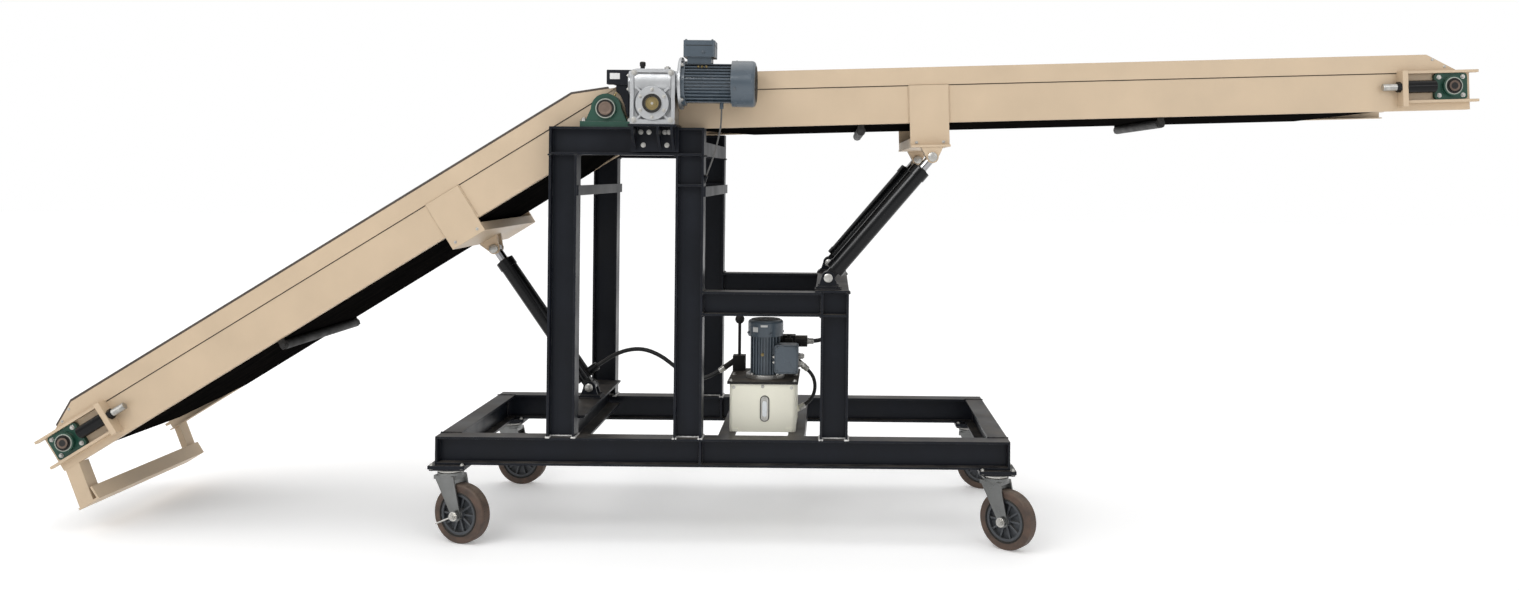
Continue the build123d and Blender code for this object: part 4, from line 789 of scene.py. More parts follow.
def boom_bolts(name):
    hardware = bpy.context.scene.conveyor_hardware
    place, body, tail = boom_place(name), name + "_boom", BOOMS[name]["length"]
    turn = place.to_3x3()
    spots = []
    dark, pale, ends, threads = bmesh.new(), bmesh.new(), bmesh.new(), bmesh.new()
    thread_r, pitch, ridges = 0.0122, 0.0025, 20
    screw = [(0.0, -0.0006), (0.0105, -0.0006)]
    for ridge in range(ridges):
        screw += [(thread_r, pitch * ridge), (thread_r + 0.0009, pitch * (ridge + 0.5))]
    screw.append((thread_r - 0.0004, pitch * ridges))
    screw_at = tail - RAIL_START - 0.084
    flange_out, insert_out, shaft_out, screw_out = 0.016, 0.032, 0.038, 0.024
    for side in (-1, 1):
        normal = turn @ Vector((0, side, 0))

        def spot(along, out, up=0.0):
            return place @ Vector((along, side * (PANEL_Y + out), up))

        for along in (-0.046, 0.040):
            for up in (-0.033, 0.033):
                spots.append((spot(tail + along, flange_out, up), normal, 0.75 * hardware.cover_bolt))
        for along, up in ((-0.062, 0.098), (-0.018, 0.072)):
            spots.append((spot(tail + along, GUARD_T, up), normal, 0.8 * hardware.small_screw))
        bearing_rings(dark, pale, facing(spot(tail, insert_out), normal), 0.0205)
        shaft_end(ends, facing(spot(tail, shaft_out), normal), 0.020)
        lathe(threads, screw, facing(spot(screw_at, screw_out), turn @ RIGHT), 24)
    bolt_piece(name + "_tail_bolts", spots, body)
    piece(name + "_tail_inserts", dark, body, "seal_dark")
    piece(name + "_tail_seals", pale, body, "seal")
    piece(name + "_tail_shaft_ends", ends, body, "shaft_steel")
    piece(name + "_screw_threads", threads, body, "zinc")


# Hoses and the motor cable
CORDS = {
    "hose_lift": {
        "points": (
            (-548.9, 0, 558.3),
            (-491.6, 0, 598.5),
            (-427.3, -7.8, 630.8),
            (-355.0, -16.7, 639.9),
            (-286.8, -25.0, 616.6),
            (-226.5, -32.3, 573.6),
            (-162.3, -40.2, 524.0),
            (-90.0, -49.0, 532.0),
            (-30.0, -49.0, 574.0),
        ),
        "length": 0.584,
        "diameter": 0.016,
        "slot": "hose_black",
        "ferrules": (-1,),
    },
    "hose_shelf": {
        "points": ((291, -75, 683), (337, -75, 683), (376.7, -75, 705.7), (400, -75, 746), (400, -75, 792)),
        "length": 0.181,
        "diameter": 0.016,
        "slot": "hose_black",
        "ferrules": (0, -1),
    },
    "hose_tank": {
        "points": (
            (276, -85, 590),
            (308, -85, 563),
            (323.6, -85, 523.6),
            (320.0, -85, 481.8),
            (298, -85, 447),
            (263, -85, 427),
        ),
        "length": 0.205,
        "diameter": 0.014,
        "slot": "hose_black",
        "ferrules": (0, -1),
    },
    "cable_motor": {
        "points": (
            (-14, -455, 1556),
            (-14, -455, 1512),
            (-21.6, -447.2, 1468.5),
            (-32.2, -439.3, 1425.1),
            (-44.0, -432.1, 1384.8),
            (-57, -426, 1351),
            (-70, -414, 1320),
        ),
        "length": 0.249,
        "diameter": 0.006,
        "slot": "cable_grey",
        "ferrules": (),
    },
}


def cord_piece(name):
    """A hose or cable on one smooth spline, in place of its plain tube."""
    cord = CORDS[name]
    points = [at(*point) for point in cord["points"]]
    curve = bpy.data.curves.new(name + "_line", "CURVE")
    curve.dimensions = "3D"
    spline = curve.splines.new("NURBS")
    spline.points.add(len(points) - 1)
    for spot, point in zip(spline.points, points):
        spot.co = (*point, 1.0)
    spline.order_u = 3
    spline.use_endpoint_u = True
    spline.resolution_u = 14
    curve.bevel_depth = cord["diameter"] / 2
    curve.bevel_resolution = 5
    curve.use_fill_caps = True
    curve.materials.append(finish_of(cord["slot"]))
    made = bpy.data.objects.new(name + "_line", curve)
    bpy.context.scene.collection.objects.link(made)
    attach(made, "chassis")
    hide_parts(name)


def hose_ferrules():
    """Crimped sleeves where the hoses meet their fittings."""
    profile = [(0.006, 0.0), (0.0125, 0.0), (0.0125, 0.007), (0.0105, 0.008)]
    for step in range(3):
        low = 0.009 + 0.005 * step
        profile += [(0.0112, low), (0.0112, low + 0.003), (0.0102, low + 0.004)]
    profile += [(0.0088, 0.025), (0.006, 0.025)]
    places = []
    for cord in CORDS.values():
        for end in cord["ferrules"]:
            first = at(*cord["points"][end])
            second = at(*cord["points"][1 if end == 0 else -2])
            places.append(facing(first, second - first))
    turned("hose_ferrules", profile, places, 24, "zinc")


# Frame dressing, in millimetres; each post has its place along the base, its foot and its head
POSTS = ((-580, 380, 1390), (-127, 380, 1390), (395, 380, 906))
RAIL_Y = 400
HALF_BEAM = 50
HALF_FLANGE = 35
# A bead's distance from the middle of a beam's web, and from the outer face of its flange
WEB_BEAD, FLANGE_BEAD = 4, 9


def post_weld_lines(x, y, z):
    """Beads round the foot or head of an upright beam."""
    inner = HALF_BEAM - FLANGE_BEAD
    lines = []
    for side in (-1, 1):
        web = y + side * WEB_BEAD
        tip = y + side * (HALF_FLANGE - 1)
        lines.append([(x - inner, web, z), (x + inner, web, z)])
        for edge in (-1, 1):
            lines.append([(x + edge * inner, web, z), (x + edge * inner, tip, z)])
            lines.append([(x + edge * inner, tip + side, z), (x + edge * HALF_BEAM, tip + side, z)])
    for edge in (-1, 1):
        out = x + edge * (HALF_BEAM + 1)
        lines.append([(out, y - HALF_FLANGE, z), (out, y + HALF_FLANGE, z)])
    return lines


def beam_end_weld_lines(x, y, low, depth, way):
    """Beads where a beam along X ends against an upright face."""
    face = x + way
    inside = (low + FLANGE_BEAD, low + depth - FLANGE_BEAD)
    lines = []
    for side in (-1, 1):
        web = y + side * WEB_BEAD
        tip = y + side * (HALF_FLANGE - 1)
        lines.append([(face, web, z) for z in inside])
        for z in inside:
            lines.append([(face, web, z), (face, tip, z)])
    for z in (low - 1, low + depth + 1):
        lines.append([(face, y - HALF_FLANGE, z), (face, y + HALF_FLANGE, z)])
    return lines


def lines_at(lines):
    """Lines given in millimetres from the base's middle, moved to the frame."""
    return [[at(*point) for point in line] for line in lines]


def frame_welds():
    lines, feet = [], []
    rail_low, rail_top, end_x = 280, 380, 1025 - HALF_FLANGE
    rib_x, rib_bead, rib_end, rib_reach = -81, 5, 10, 33
    shelf_left, shelf_right, shelf_low, shelf_depth = -77, 345, 820, 86
    inner = RAIL_Y - HALF_FLANGE - 1
    for y in (-RAIL_Y, RAIL_Y):
        for x, low, high in POSTS:
            feet += post_weld_lines(x, y, low + 1)
            lines += post_weld_lines(x, y, high - 1)
        lines += beam_end_weld_lines(shelf_left, y, shelf_low, shelf_depth, 1)
        lines += beam_end_weld_lines(shelf_right, y, shelf_low, shelf_depth, -1)
        for side in (-1, 1):
            web, foot = y + side * WEB_BEAD, rail_low + FLANGE_BEAD
            for x in (rib_x - rib_bead, rib_x + rib_bead):
                lines.append([(x, web, rail_low + rib_end), (x, web, rail_top - rib_end)])
                lines.append([(x, web, foot), (x, y + side * rib_reach, foot)])
    for x in (-end_x, end_x):
        for y in (-inner, inner):
            lines.append([(x - HALF_FLANGE, y, rail_top), (x + HALF_FLANGE, y, rail_top)])
            for web in (x - WEB_BEAD, x + WEB_BEAD):
                lines.append([(web, y, rail_low + FLANGE_BEAD), (web, y, rail_top - FLANGE_BEAD)])
    for x, top in ((-560, 445), (395, 906)):
        for y in (-inner, inner):
            lines.append([(x - HALF_BEAM, y, top - 1), (x + HALF_BEAM, y, top - 1)])
    weld_piece("post_foot_welds", lines_at(feet), "chassis")
    weld_piece("frame_welds", lines_at(lines), "chassis", "frame_black")


def seat_bolts():
    plate_y, size = -445, 0.6 * bpy.context.scene.conveyor_hardware.frame_bolt
    holes = ((-301, 1472), (-272, 1472), (-216, 1472), (-201, 1472), (-292, 1426), (-208, 1426))
    spots = [(at(x, plate_y, z), FRONT, size) for x, z in holes]
    bolt_piece("gearbox_seat_bolts", spots, "chassis")


# Drive dressing
DRUM_X, DRUM_Z = -251, 1570
WORM_Z = 1645
DRIVE_Y = -455
MOTOR_LEFT, MOTOR_RIGHT = -160.5, 107.5


def bearing_dressing():
    """Foot bolts, grease nipples, seals and shaft ends on the pillow blocks."""
    blocks = ((-431, -RAIL_Y, 0), (-431, RAIL_Y, 0), (DRUM_X, RAIL_Y, 14))
    axis_z, foot_z, foot_reach, foot_bolt = 1556, 1510, 82, 0.012
    face_out, shaft_out, bore, shaft_r, crown_r = 30, 34, 0.0243, 0.024, 0.0535
    spots = []
    dark, pale, nipples, ends = bmesh.new(), bmesh.new(), bmesh.new(), bmesh.new()
    nipple = [(0.0, -0.002), (0.0045, -0.002), (0.0045, 0.004), (0.003, 0.005)]
    nipple += [(0.0022, 0.009), (0.0032, 0.011), (0.0026, 0.014), (0.0, 0.015)]
    slope = Vector((0.5, 0, 0.866))
    for x, y, rise in blocks:
        for side in (-1, 1):
            spots.append((at(x + side * foot_reach, y, foot_z + rise), UP, foot_bolt))
            face = facing(at(x, y + side * face_out, axis_z + rise), side * BACK)
            bearing_rings(dark, pale, face, bore)
        lathe(nipples, nipple, facing(at(x, y, axis_z + rise) + crown_r * slope, slope), 14)
        way = math.copysign(1, y)
        shaft_end(ends, facing(at(x, y + way * shaft_out, axis_z + rise), way * BACK), shaft_r)
    bolt_piece("pillow_block_bolts", spots, "chassis")
    piece("pillow_block_inserts", dark, "chassis", "seal_dark")
    piece("pillow_block_seals", pale, "chassis", "seal")
    piece("pillow_block_nipples", nipples, "chassis", "brass")
    piece("drum_shaft_ends", ends, "chassis", "shaft_steel")


def gearbox_relief():
    """Bulge of the worm's housing and a fillet round the output cover, in the front pocket."""
    relief = bmesh.new()
    pocket, rise, half, steps = DRIVE_Y - 51, 0.0066, 0.029, 12
    along_worm = Matrix(((0, 0, 1), (1, 0, 0), (0, 1, 0))).to_4x4()
    place = Matrix.Translation(at(DRUM_X - 64, pocket, WORM_Z + 3)) @ along_worm
    turns = [math.pi * step / steps for step in range(steps + 1)]
    bulge = [(-rise * math.sin(turn), half * math.cos(turn)) for turn in turns]
    prism(relief, bulge, place, 0.128)
    fillet = [(0.0575, -0.001), (0.0665, -0.001), (0.0650, 0.0012), (0.0610, 0.0042)]
    fillet += [(0.0590, 0.0090), (0.0575, 0.0120)]
    lathe(relief, fillet, facing(at(DRUM_X, pocket, DRUM_Z), FRONT), 72)
    piece("gearbox_relief", relief, "chassis", "gearbox_aluminium", 0.0015)


def gearbox_dressing():
    cover = bpy.context.scene.conveyor_hardware.cover_bolt
    slot, top = "gearbox_aluminium", 1692
    lug_x, lug_y, lug_heights, worm_cap_x, plug_x = 64.5, 58, (1512, 1678), 88.5, 44
    axis = at(DRUM_X, DRIVE_Y, DRUM_Z)
    spots = []
    for way in (FRONT, BACK):
        spots += [(spot, way, 0.6 * cover) for spot in circle(axis + 0.066 * way, RIGHT, UP, 0.048, 6)]
    for x in (DRUM_X - lug_x, DRUM_X + lug_x):
        spots += [(at(x, DRIVE_Y - lug_y, z), FRONT, 0.9 * cover) for z in lug_heights]
    worm_cap = at(DRUM_X - worm_cap_x, DRIVE_Y, WORM_Z)
    spots += [(spot, -RIGHT, 0.7 * cover) for spot in circle(worm_cap, BACK, UP, 0.034, 4)]
    spots.append((axis + 0.056 * FRONT, FRONT, cover))
    spots.append((at(DRUM_X + plug_x, DRIVE_Y, top), UP, 1.3 * cover))
    bolt_piece("gearbox_bolts", spots, "chassis")
    gearbox_relief()
    face = facing(axis + 0.072 * FRONT, FRONT)
    seal = [(0.0242, -0.004), (0.0242, 0.0012), (0.0295, 0.0020), (0.0330, 0.0016), (0.0338, 0.0)]
    turned("gearbox_oil_seal", seal, [face], 56, "seal_dark")
    washer = [(0.0, -0.0070), (0.0150, -0.0070), (0.0158, -0.0076), (0.0158, -0.0085)]
    washer += [(0.0235, -0.0085), (0.0235, -0.0098)]
    turned("gearbox_shaft_washer", washer, [face], 56, "brass")
    cap = [(0.0, 0.030), (0.007, 0.029), (0.0105, 0.026), (0.0105, 0.014)]
    cap += [(0.008, 0.012), (0.008, 0.0), (0.0, 0.0)]
    turned("gearbox_breather", cap, [facing(at(DRUM_X - plug_x, DRIVE_Y, top), UP)], 24, "lid_dark")


def grille(name, radii, place, steps):
    """Raised rings over the vents of a fan cover."""
    rings = bmesh.new()
    for radius in radii:
        bar = [(radius - 0.003, -0.0005), (radius - 0.002, 0.0018)]
        bar += [(radius + 0.002, 0.0018), (radius + 0.003, -0.0005)]
        lathe(rings, bar, place, steps)
    piece(name, rings, "chassis", "seal_dark")


def motor_dressing():
    hardware = bpy.context.scene.conveyor_hardware
    axis = at(MOTOR_LEFT, DRIVE_Y, WORM_Z)
    rim = [(0.046, -0.0010), (0.0905, -0.0010), (0.0928, 0.0010), (0.0928, 0.0090), (0.0918, 0.0098)]
    turned("motor_adapter_ring", rim, [facing(axis, RIGHT)], 72, "gearbox_aluminium")
    flange = circle(axis + 0.010 * RIGHT, BACK, UP, 0.0855, 4)
    spots = [(spot, RIGHT, 0.8 * hardware.cover_bolt) for spot in flange]
    bolt_piece("drive_motor_bolts", spots, "chassis")
    spots = []
    for turn in (math.radians(196), math.radians(316), math.radians(76)):
        out = Vector((0, math.cos(turn), math.sin(turn)))
        spots.append((axis + 0.198 * RIGHT + 0.082 * out, out, hardware.small_screw))
    box_x, box_wide, box_deep, box_top, seam_z = -90.5, 110, 104, 1794, 1776
    for x in (box_x - 46, box_x + 46):
        for y in (DRIVE_Y - 43, DRIVE_Y + 43):
            spots.append((at(x, y, box_top), UP, 0.8 * hardware.small_screw))
    spots.append((at(-75, DRIVE_Y - 52, 1752), FRONT, hardware.small_screw))
    bolt_piece("drive_motor_screws", spots, "chassis", "motor_grey")
    earth = Vector((0, -0.665, 0.747))
    feet = [at(x, DRIVE_Y, WORM_Z) + 0.075 * earth for x in (-92, -79, -64)]
    spots = [(foot, earth, 0.8 * hardware.small_screw) for foot in feet]
    bolt_piece("earth_screws", spots, "chassis", "brass")
    vents = (0.022, 0.032, 0.042, 0.052, 0.062)
    grille("fan_cover_grille", vents, facing(at(MOTOR_RIGHT, DRIVE_Y, WORM_Z), RIGHT), 56)
    seam = []
    for side in (-1, 1):
        long_side = facing(at(box_x, DRIVE_Y + side * box_deep / 2, seam_z), side * BACK)
        short_side = facing(at(box_x + side * box_wide / 2, DRIVE_Y, seam_z), side * RIGHT)
        for face, run in ((long_side, box_wide), (short_side, box_deep)):
            seam.append((face, (run / 1000 - 0.016, 0.0022, 0.0006)))
    bars("terminal_box_seam", seam, "seal_dark")


def switch_dressing():
    """End housing, bracket arm and blank plate of the limit switch."""
    housing = bmesh.new()
    slab(housing, facing(at(-419, -377, 1670), FRONT), (0.026, 0.052, 0.0315))
    arm = [(-399, 1648), (-352, 1648), (-352, 1530), (-360, 1530)]
    arm += [(-368, 1572), (-384, 1606), (-399, 1620)]
    plane = facing(at(0, -394, 0), FRONT)
    way = (plane.to_3x3() @ RIGHT).x
    prism(housing, [(way * x / 1000, z / 1000) for x, z in arm], plane, 0.006)
    piece("switch_housing", housing, "chassis", "frame_black", 0.002)
    plate = [(facing(at(-402, -408, 1673), FRONT), (0.036, 0.022, 0.0016))]
    bars("switch_blank_plate", plate, "plate", 0.0005)


# Power unit dressing
PUMP_X, PUMP_Y, LID_TOP = 136, -193, 565


def stadium(wide, tall, steps=10):
    """Outline of an upright slot with round ends."""
    radius = wide / 2
    centre = tall / 2 - radius
    turns = [math.pi * step / steps for step in range(steps + 1)]
    top = [(radius * math.cos(turn), centre + radius * math.sin(turn)) for turn in turns]
    return top + [(-x, -y) for x, y in top]


def tank_dressing():
    hardware = bpy.context.scene.conveyor_hardware
    face, gauge_x, gauge_z = -305, 141, 466
    place = facing(at(gauge_x, face, gauge_z), FRONT)
    gauge = (
        ("level_gauge_gasket", (0.0345, 0.0965), 0.0, 0.0014, "seal_dark", 0.0),
        ("level_gauge_bezel", (0.029, 0.091), 0.0, 0.006, "zinc", 0.0015),
        ("level_gauge_window", (0.017, 0.058), 0.0058, 0.0018, "gauge_window", 0.0006),
    )
    for name, outline, low, deep, material, bevel in gauge:
        layer = bmesh.new()
        prism(layer, stadium(*outline), place @ Matrix.Translation((0, 0, low)), deep)
        piece(name, layer, "chassis", material, bevel)
    screws = [(gauge_x, face - 6, gauge_z - 37), (gauge_x, face - 6, gauge_z + 37)]
    screws += [(27, face, 543), (239, face, 543), (133, face, 547)]
    spots = [(at(*screw), FRONT, hardware.small_screw) for screw in screws]
    for x in (16, 250):
        spots += [(at(x, y, LID_TOP), UP, 0.8 * hardware.cover_bolt) for y in (-300, -160, -20)]
    flange = circle(at(PUMP_X, PUMP_Y, LID_TOP + 14), RIGHT, BACK, 0.066, 4)
    spots += [(spot, UP, 0.7 * hardware.cover_bolt) for spot in flange]
    bolt_piece("power_unit_bolts", spots, "chassis")
    feet = [(facing(at(x, face, 387), FRONT), (0.024, 0.012, 0.005)) for x in (34, 232)]
    bars("tank_feet", feet, "tank_cream", 0.001)


def pump_dressing():
    hardware = bpy.context.scene.conveyor_hardware
    box_x, box_z, box_y = 218, 644, -288
    slot = "motor_grey"
    lid = [(facing(at(box_x, box_y, box_z), FRONT), (0.080, 0.098, 0.004))]
    bars("pump_box_lid", lid, slot, 0.003)
    spots = []
    for x in (box_x - 34, box_x + 34):
        for z in (box_z - 43, box_z + 43):
            spots.append((at(x, box_y - 4, z), FRONT, 0.8 * hardware.small_screw))

    def round_side(degrees, z, reach):
        """Point on the pump motor's round side, and the way that it looks."""
        out = Vector((math.cos(math.radians(degrees)), math.sin(math.radians(degrees)), 0))
        return at(PUMP_X, PUMP_Y, z) + reach * out, out

    spots += [(*round_side(degrees, 733, 0.066), hardware.small_screw) for degrees in (200, 290, 20)]
    bolt_piece("pump_screws", spots, "chassis", slot)
    earth = [(at(128, -255, 656), FRONT, hardware.small_screw)]
    bolt_piece("pump_earth_screw", earth, "chassis", "brass")
    nuts = [(at(174, -255, z), -RIGHT, 0.8 * hardware.cover_bolt) for z in (628, 648)]
    bolt_piece("pump_box_nuts", nuts, "chassis")
    ring = [(0.0640, 0.0146), (0.0716, 0.0146), (0.0726, 0.0136), (0.0726, 0.0)]
    base = facing(at(PUMP_X, PUMP_Y, LID_TOP), UP)
    turned("pump_flange_ring", ring, [base], 64, "zinc")
    collar = [(0.0, 0.022), (0.007, 0.022), (0.009, 0.018), (0.011, 0.016)]
    collar += [(0.011, 0.006), (0.013, 0.005), (0.013, 0.0)]
    glands = [facing(at(262, -254, z), RIGHT) for z in (622, 652)]
    turned("pump_cable_glands", collar, glands, 6, "zinc")
    plates = []
    for degrees, z, size in ((238, 748, (0.022, 0.018, 0.0012)), (268, 762, (0.026, 0.008, 0.0012))):
        plates.append((facing(*round_side(degrees, z, 0.0655)), size))
    bars("pump_blank_plates", plates, "plate", 0.0004)
    vents = (0.016, 0.025, 0.034, 0.043, 0.052)
    grille("pump_cover_grille", vents, facing(at(PUMP_X, PUMP_Y, 781), UP), 48)
    plug = bmesh.new()
    slab(plug, facing(at(221, -99, 681), FRONT), (0.030, 0.034, 0.022))
    neck = [(0.0, 0.016), (0.006, 0.016), (0.008, 0.012), (0.008, 0.0)]
    lathe(plug, neck, facing(at(221, -110, 698), UP), 12)
    piece("coil_plug", plug, "chassis", "seal_dark", 0.002)


# Lift dressing
LIFTS = {
    "infeed": {"foot": (-560, 487), "pin": (0.711, -0.180), "across": (0,)},
    "discharge": {"foot": (370, 956), "pin": (0.985, -0.210), "across": (-367, 367)},
}
PIN_FACE = 37


def lift_ends(name, y):
    """Middle of a cylinder's foot pin and of its boom pin, at a distance across."""
    lift = LIFTS[name]
    x, z = lift["foot"]
    foot = at(x, y, z)
    along, up = lift["pin"]
    eye = boom_place(name) @ Vector((along, 0, up))
    eye.y = foot.y
    return foot, eye


def pin_heads():
    """Bright pin heads on both sides of every clevis."""
    head = [(0.0, 0.0042), (0.0130, 0.0042), (0.0160, 0.0026), (0.0160, -0.001)]
    boom_head = [(0.0, 0.0042), (0.0140, 0.0042), (0.0172, 0.0024), (0.0172, -0.001)]
    feet = []
    for name, lift in LIFTS.items():
        eyes = []
        for y in lift["across"]:
            for side in (-1, 1):
                foot, eye = lift_ends(name, y + side * PIN_FACE)
                feet.append(facing(foot, side * BACK))
                eyes.append(facing(eye, side * BACK))
        turned(name + "_clevis_pin_heads", boom_head, eyes, 40, "zinc", name + "_boom")
    turned("bracket_pin_heads", head, feet, 40, "zinc")


def lift_seals():
    """Wiper seal and lock ring at every cylinder's gland."""
    bodies = {"infeed": "infeed_barrel", "discharge": "discharge_barrels"}
    wiper = [(0.0174, -0.001), (0.0174, 0.0045), (0.0195, 0.0045), (0.0230, 0.0015)]
    wiper += [(0.0300, 0.0015), (0.0325, -0.0005)]
    gland = 0.058
    for name, body in bodies.items():
        places = []
        for y in LIFTS[name]["across"]:
            foot, eye = lift_ends(name, y)
            line = (eye - foot).normalized()
            places.append(facing(eye - gland * line, line))
        turned(name + "_gland_seals", wiper, places, 40, "seal_dark", body)


def bracket_welds():
    """Beads round every bracket's base plate and along its two ears."""
    pin_up, plate_x, plate_y, ear_x, ear_y, plate_t = 42, 44, 36, 34, 31, 10
    lines = []
    for lift in LIFTS.values():
        x, z = lift["foot"]
        low = z - pin_up + 1
        for y in lift["across"]:
            for side in (-1, 1):
                edge_x, edge_y = x + side * (plate_x + 1), y + side * (plate_y + 1)
                lines.append([(x - plate_x, edge_y, low), (x + plate_x, edge_y, low)])
                lines.append([(edge_x, y - plate_y, low), (edge_x, y + plate_y, low)])
                ear, top = y + side * ear_y, low + plate_t
                lines.append([(x - ear_x, ear, top), (x + ear_x, ear, top)])
    weld_piece("bracket_welds", lines_at(lines), "chassis", "frame_black")


def saddle_dressing():
    hardware = bpy.context.scene.conveyor_hardware
    saddles = {"infeed": (0.611, 0.136, -0.138), "discharge": (0.909, 0.142, -0.174)}
    plate_y, bead_y, inset, rise, bead_out = 0.365, 0.358, 0.022, 0.018, 0.001
    for name, (start, wide, low) in saddles.items():
        place = boom_place(name)
        turn = place.to_3x3()
        spots, beads = [], []
        for side in (-1, 1):
            normal = turn @ Vector((0, side, 0))
            for along in (start + inset, start + wide - inset):
                spot = place @ Vector((along, side * plate_y, low + rise))
                spots.append((spot, normal, 0.9 * hardware.small_screw))
            for along in (start - bead_out, start + wide + bead_out):
                beads.append([place @ Vector((along, side * bead_y, up)) for up in (-0.080, 0.048)])
        bolt_piece(name + "_saddle_bolts", spots, name + "_boom")
        weld_piece(name + "_saddle_welds", beads, name + "_boom", "boom_sand")


# Caster dressing
CASTER_YAW = {"front_left": -21, "front_right": -40, "rear_left": -8, "rear_right": -10}
CASTER_SIDES = {
    "front_left": (-979, -400),
    "front_right": (979, -400),
    "rear_left": (-979, 400),
    "rear_right": (979, 400),
}
CASTER_AXLE = Vector((0.052, 0, 0.105))
FORK_HALF = 0.050


def caster_place(name):
    """Matrix at the caster's swivel on the floor, its X along the trail."""
    x, y = CASTER_SIDES[name]
    return Matrix.Translation(at(x, y, 0)) @ Matrix.Rotation(math.radians(CASTER_YAW[name]), 4, "Z")


def caster_plate_dressing():
    size, top, low = 0.8 * bpy.context.scene.conveyor_hardware.cover_bolt, 280, 268
    spots = []
    race = [(0.0400, 0.0), (0.0435, 0.0005), (0.0450, 0.003)]
    race += [(0.0450, 0.008), (0.0435, 0.0105), (0.0400, 0.0115)]
    for x, y in CASTER_SIDES.values():
        for along in (-54, 54):
            for side in (-45, 45):
                spots.append((at(x + along, y + side, top), UP, size))
                spots.append((at(x + along, y + side, low), -UP, size))
    bolt_piece("caster_plate_bolts", spots, "chassis")
    races = [facing(at(x, y, 250.5), UP) for x, y in CASTER_SIDES.values()]
    turned("caster_raceways", race, races, 48, "zinc")


def caster_dressing(name):
    place = caster_place(name)
    axle = place @ CASTER_AXLE
    across = place.to_3x3() @ BACK
    groove = [(0.1044, -0.0015), (0.10502, -0.0012), (0.10502, 0.0012), (0.1044, 0.0015)]
    bead = [(0.0735, 0.0), (0.0745, 0.0022), (0.0775, 0.0028), (0.0800, 0.0)]
    dust_cap = [(0.0095, 0.0015), (0.0150, 0.0015), (0.0205, 0.0), (0.0205, -0.001)]
    groove_y, bead_y, cap_y, axle_thread = 0.010, 0.0248, 0.029, 0.0135
    lines = bmesh.new()
    for side in (-1, 1):
        lathe(lines, groove, facing(axle + side * groove_y * across, across), 72)
        lathe(lines, bead, facing(axle + side * bead_y * across, side * across), 72)
    piece("tyre_lines_" + name, lines, "wheel_" + name, "seal_dark")
    caps = [facing(axle + side * cap_y * across, side * across) for side in (-1, 1)]
    turned("hub_caps_" + name, dust_cap, caps, 32, "zinc", "wheel_" + name)
    spots = [(axle + side * FORK_HALF * across, side * across, axle_thread) for side in (-1, 1)]
    bolt_piece("axle_ends_" + name, spots, "caster_" + name)


def brake_pin():
    """Thin locking pin at the front left axle's end."""
    foot = caster_place("front_left") @ (CASTER_AXLE - FORK_HALF * BACK)
    shank = [(0.0, 0.066), (0.0018, 0.065), (0.0030, 0.058), (0.0034, 0.012)]
    shank += [(0.0060, 0.010), (0.0060, 0.0), (0.0, 0.0)]
    pin = facing(foot, (-0.92, -0.17, -0.35))
    turned("caster_brake_pin", shank, [pin], 16, "zinc", "caster_front_left")


# Operators, one for each group of like pieces
class CONVEYOR_OT_stage(bpy.types.Operator):
    """Sets up the camera, floor and soft light"""

    bl_idname = "conveyor.stage"
    bl_label = "Studio stage"

    def execute(self, context):
        build_stage()
        return {"FINISHED"}


class CONVEYOR_OT_finishes(bpy.types.Operator):
    """Makes the finishes and gives one to every node"""

    bl_idname = "conveyor.finishes"
    bl_label = "Paint and metal"

    def execute(self, context):
        make_finishes()
        paint_nodes()
        return {"FINISHED"}


class CONVEYOR_OT_cords(bpy.types.Operator):
    """Lays the hoses and the motor cable on smooth lines"""

    bl_idname = "conveyor.cords"
    bl_label = "Hoses and cable"

    def execute(self, context):
        for name in CORDS:
            cord_piece(name)
        hose_ferrules()
        return {"FINISHED"}


class CONVEYOR_OT_trees(bpy.types.Operator):
    """Makes the trees that repeat bolts and weld ripples"""

    bl_idname = "conveyor.trees"
    bl_label = "Repeating trees"

    def execute(self, context):
        bolt_tree()
        weld_tree()
        return {"FINISHED"}


class CONVEYOR_OT_booms(bpy.types.Operator):
    """Adds painted shadow lines under the guards, a panel joint line, skirts, bolts and bearing seals to both
    booms
    """

    bl_idname = "conveyor.booms"
    bl_label = "Boom dressing"

    def execute(self, context):
        for name in BOOMS:
            boom_trim(name)
            boom_bolts(name)
        return {"FINISHED"}


class CONVEYOR_OT_frame(bpy.types.Operator):
    """Adds welds to the frame and bolts to the gearbox seat"""

    bl_idname = "conveyor.frame"
    bl_label = "Frame dressing"

    def execute(self, context):
        frame_welds()
        seat_bolts()
        return {"FINISHED"}


class CONVEYOR_OT_drive(bpy.types.Operator):
    """Adds bolts, seals, plates and rings to the bearings and the gear motor"""

    bl_idname = "conveyor.drive"
    bl_label = "Drive dressing"

    def execute(self, context):
        bearing_dressing()
        gearbox_dressing()
        motor_dressing()
        switch_dressing()
        return {"FINISHED"}


class CONVEYOR_OT_power_unit(bpy.types.Operator):
    """Adds the level gauge, screws, plates and glands to the power unit"""

    bl_idname = "conveyor.power_unit"
    bl_label = "Power unit dressing"

    def execute(self, context):
        tank_dressing()
        pump_dressing()
        return {"FINISHED"}


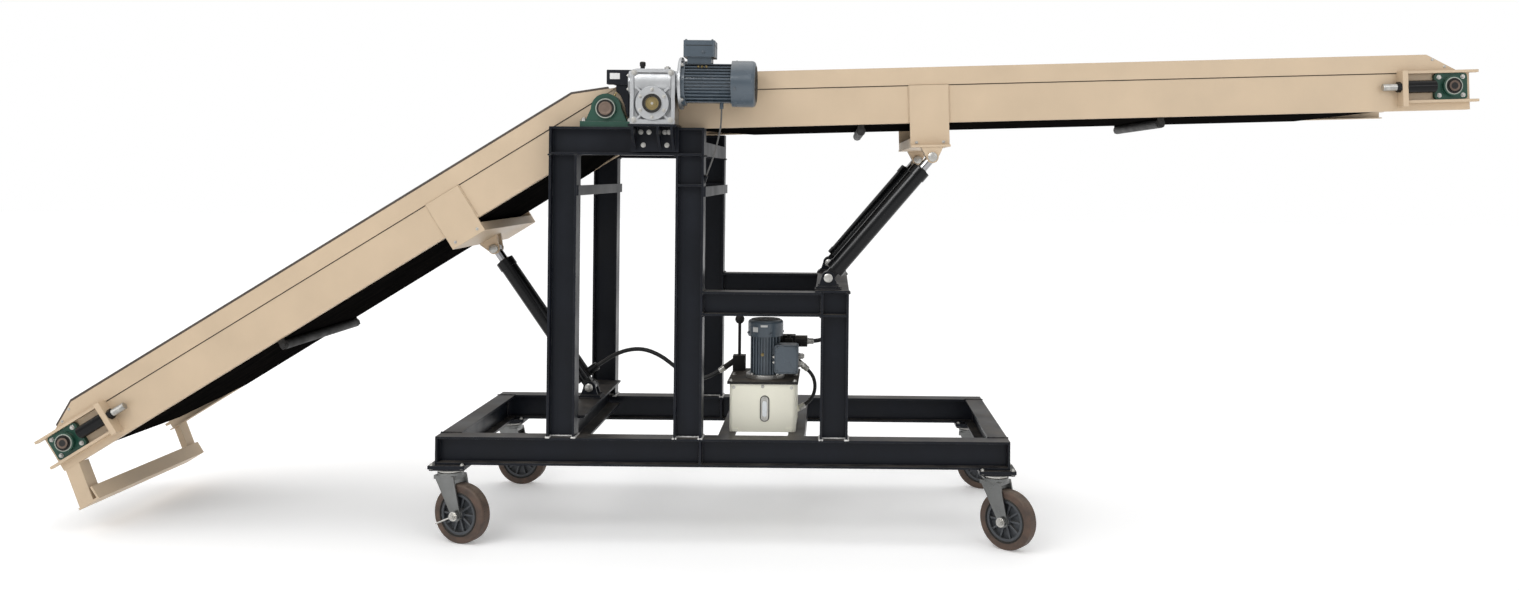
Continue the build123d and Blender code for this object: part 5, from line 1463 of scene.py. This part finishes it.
class CONVEYOR_OT_lift(bpy.types.Operator):
    """Adds pin heads, seals and welds to the lift cylinders and saddles"""

    bl_idname = "conveyor.lift"
    bl_label = "Lift dressing"

    def execute(self, context):
        pin_heads()
        lift_seals()
        bracket_welds()
        saddle_dressing()
        return {"FINISHED"}


class CONVEYOR_OT_casters(bpy.types.Operator):
    """Adds bolts, raceways, tyre lines, caps and the brake pin to the casters"""

    bl_idname = "conveyor.casters"
    bl_label = "Caster dressing"

    def execute(self, context):
        caster_plate_dressing()
        for name in CASTERS:
            caster_dressing(name)
        brake_pin()
        return {"FINISHED"}


class CONVEYOR_PT_panel(bpy.types.Panel):
    bl_idname = "CONVEYOR_PT_panel"
    bl_label = "Loading conveyor"
    bl_space_type = "VIEW_3D"
    bl_region_type = "UI"
    bl_category = "Conveyor"

    def draw(self, context):
        scene = context.scene
        for group in (scene.conveyor_paint, scene.conveyor_hardware, scene.conveyor_stage):
            for key in group.__annotations__:
                self.layout.prop(group, key)
        for operator in OPERATORS:
            self.layout.operator(operator.bl_idname)


OPERATORS = (
    CONVEYOR_OT_stage,
    CONVEYOR_OT_finishes,
    CONVEYOR_OT_cords,
    CONVEYOR_OT_trees,
    CONVEYOR_OT_booms,
    CONVEYOR_OT_frame,
    CONVEYOR_OT_drive,
    CONVEYOR_OT_power_unit,
    CONVEYOR_OT_lift,
    CONVEYOR_OT_casters,
)
CLASSES = (ConveyorPaint, ConveyorHardware, ConveyorStage, *OPERATORS, CONVEYOR_PT_panel)


def register():
    for item in CLASSES:
        bpy.utils.register_class(item)
    bpy.types.Scene.conveyor_paint = bpy.props.PointerProperty(type=ConveyorPaint)
    bpy.types.Scene.conveyor_hardware = bpy.props.PointerProperty(type=ConveyorHardware)
    bpy.types.Scene.conveyor_stage = bpy.props.PointerProperty(type=ConveyorStage)


def unregister():
    del bpy.types.Scene.conveyor_stage
    del bpy.types.Scene.conveyor_hardware
    del bpy.types.Scene.conveyor_paint
    for item in reversed(CLASSES):
        bpy.utils.unregister_class(item)


def main():
    register()
    for operator in OPERATORS:
        group, name = operator.bl_idname.split(".")
        getattr(getattr(bpy.ops, group), name)()


if __name__ == "__main__":
    main()
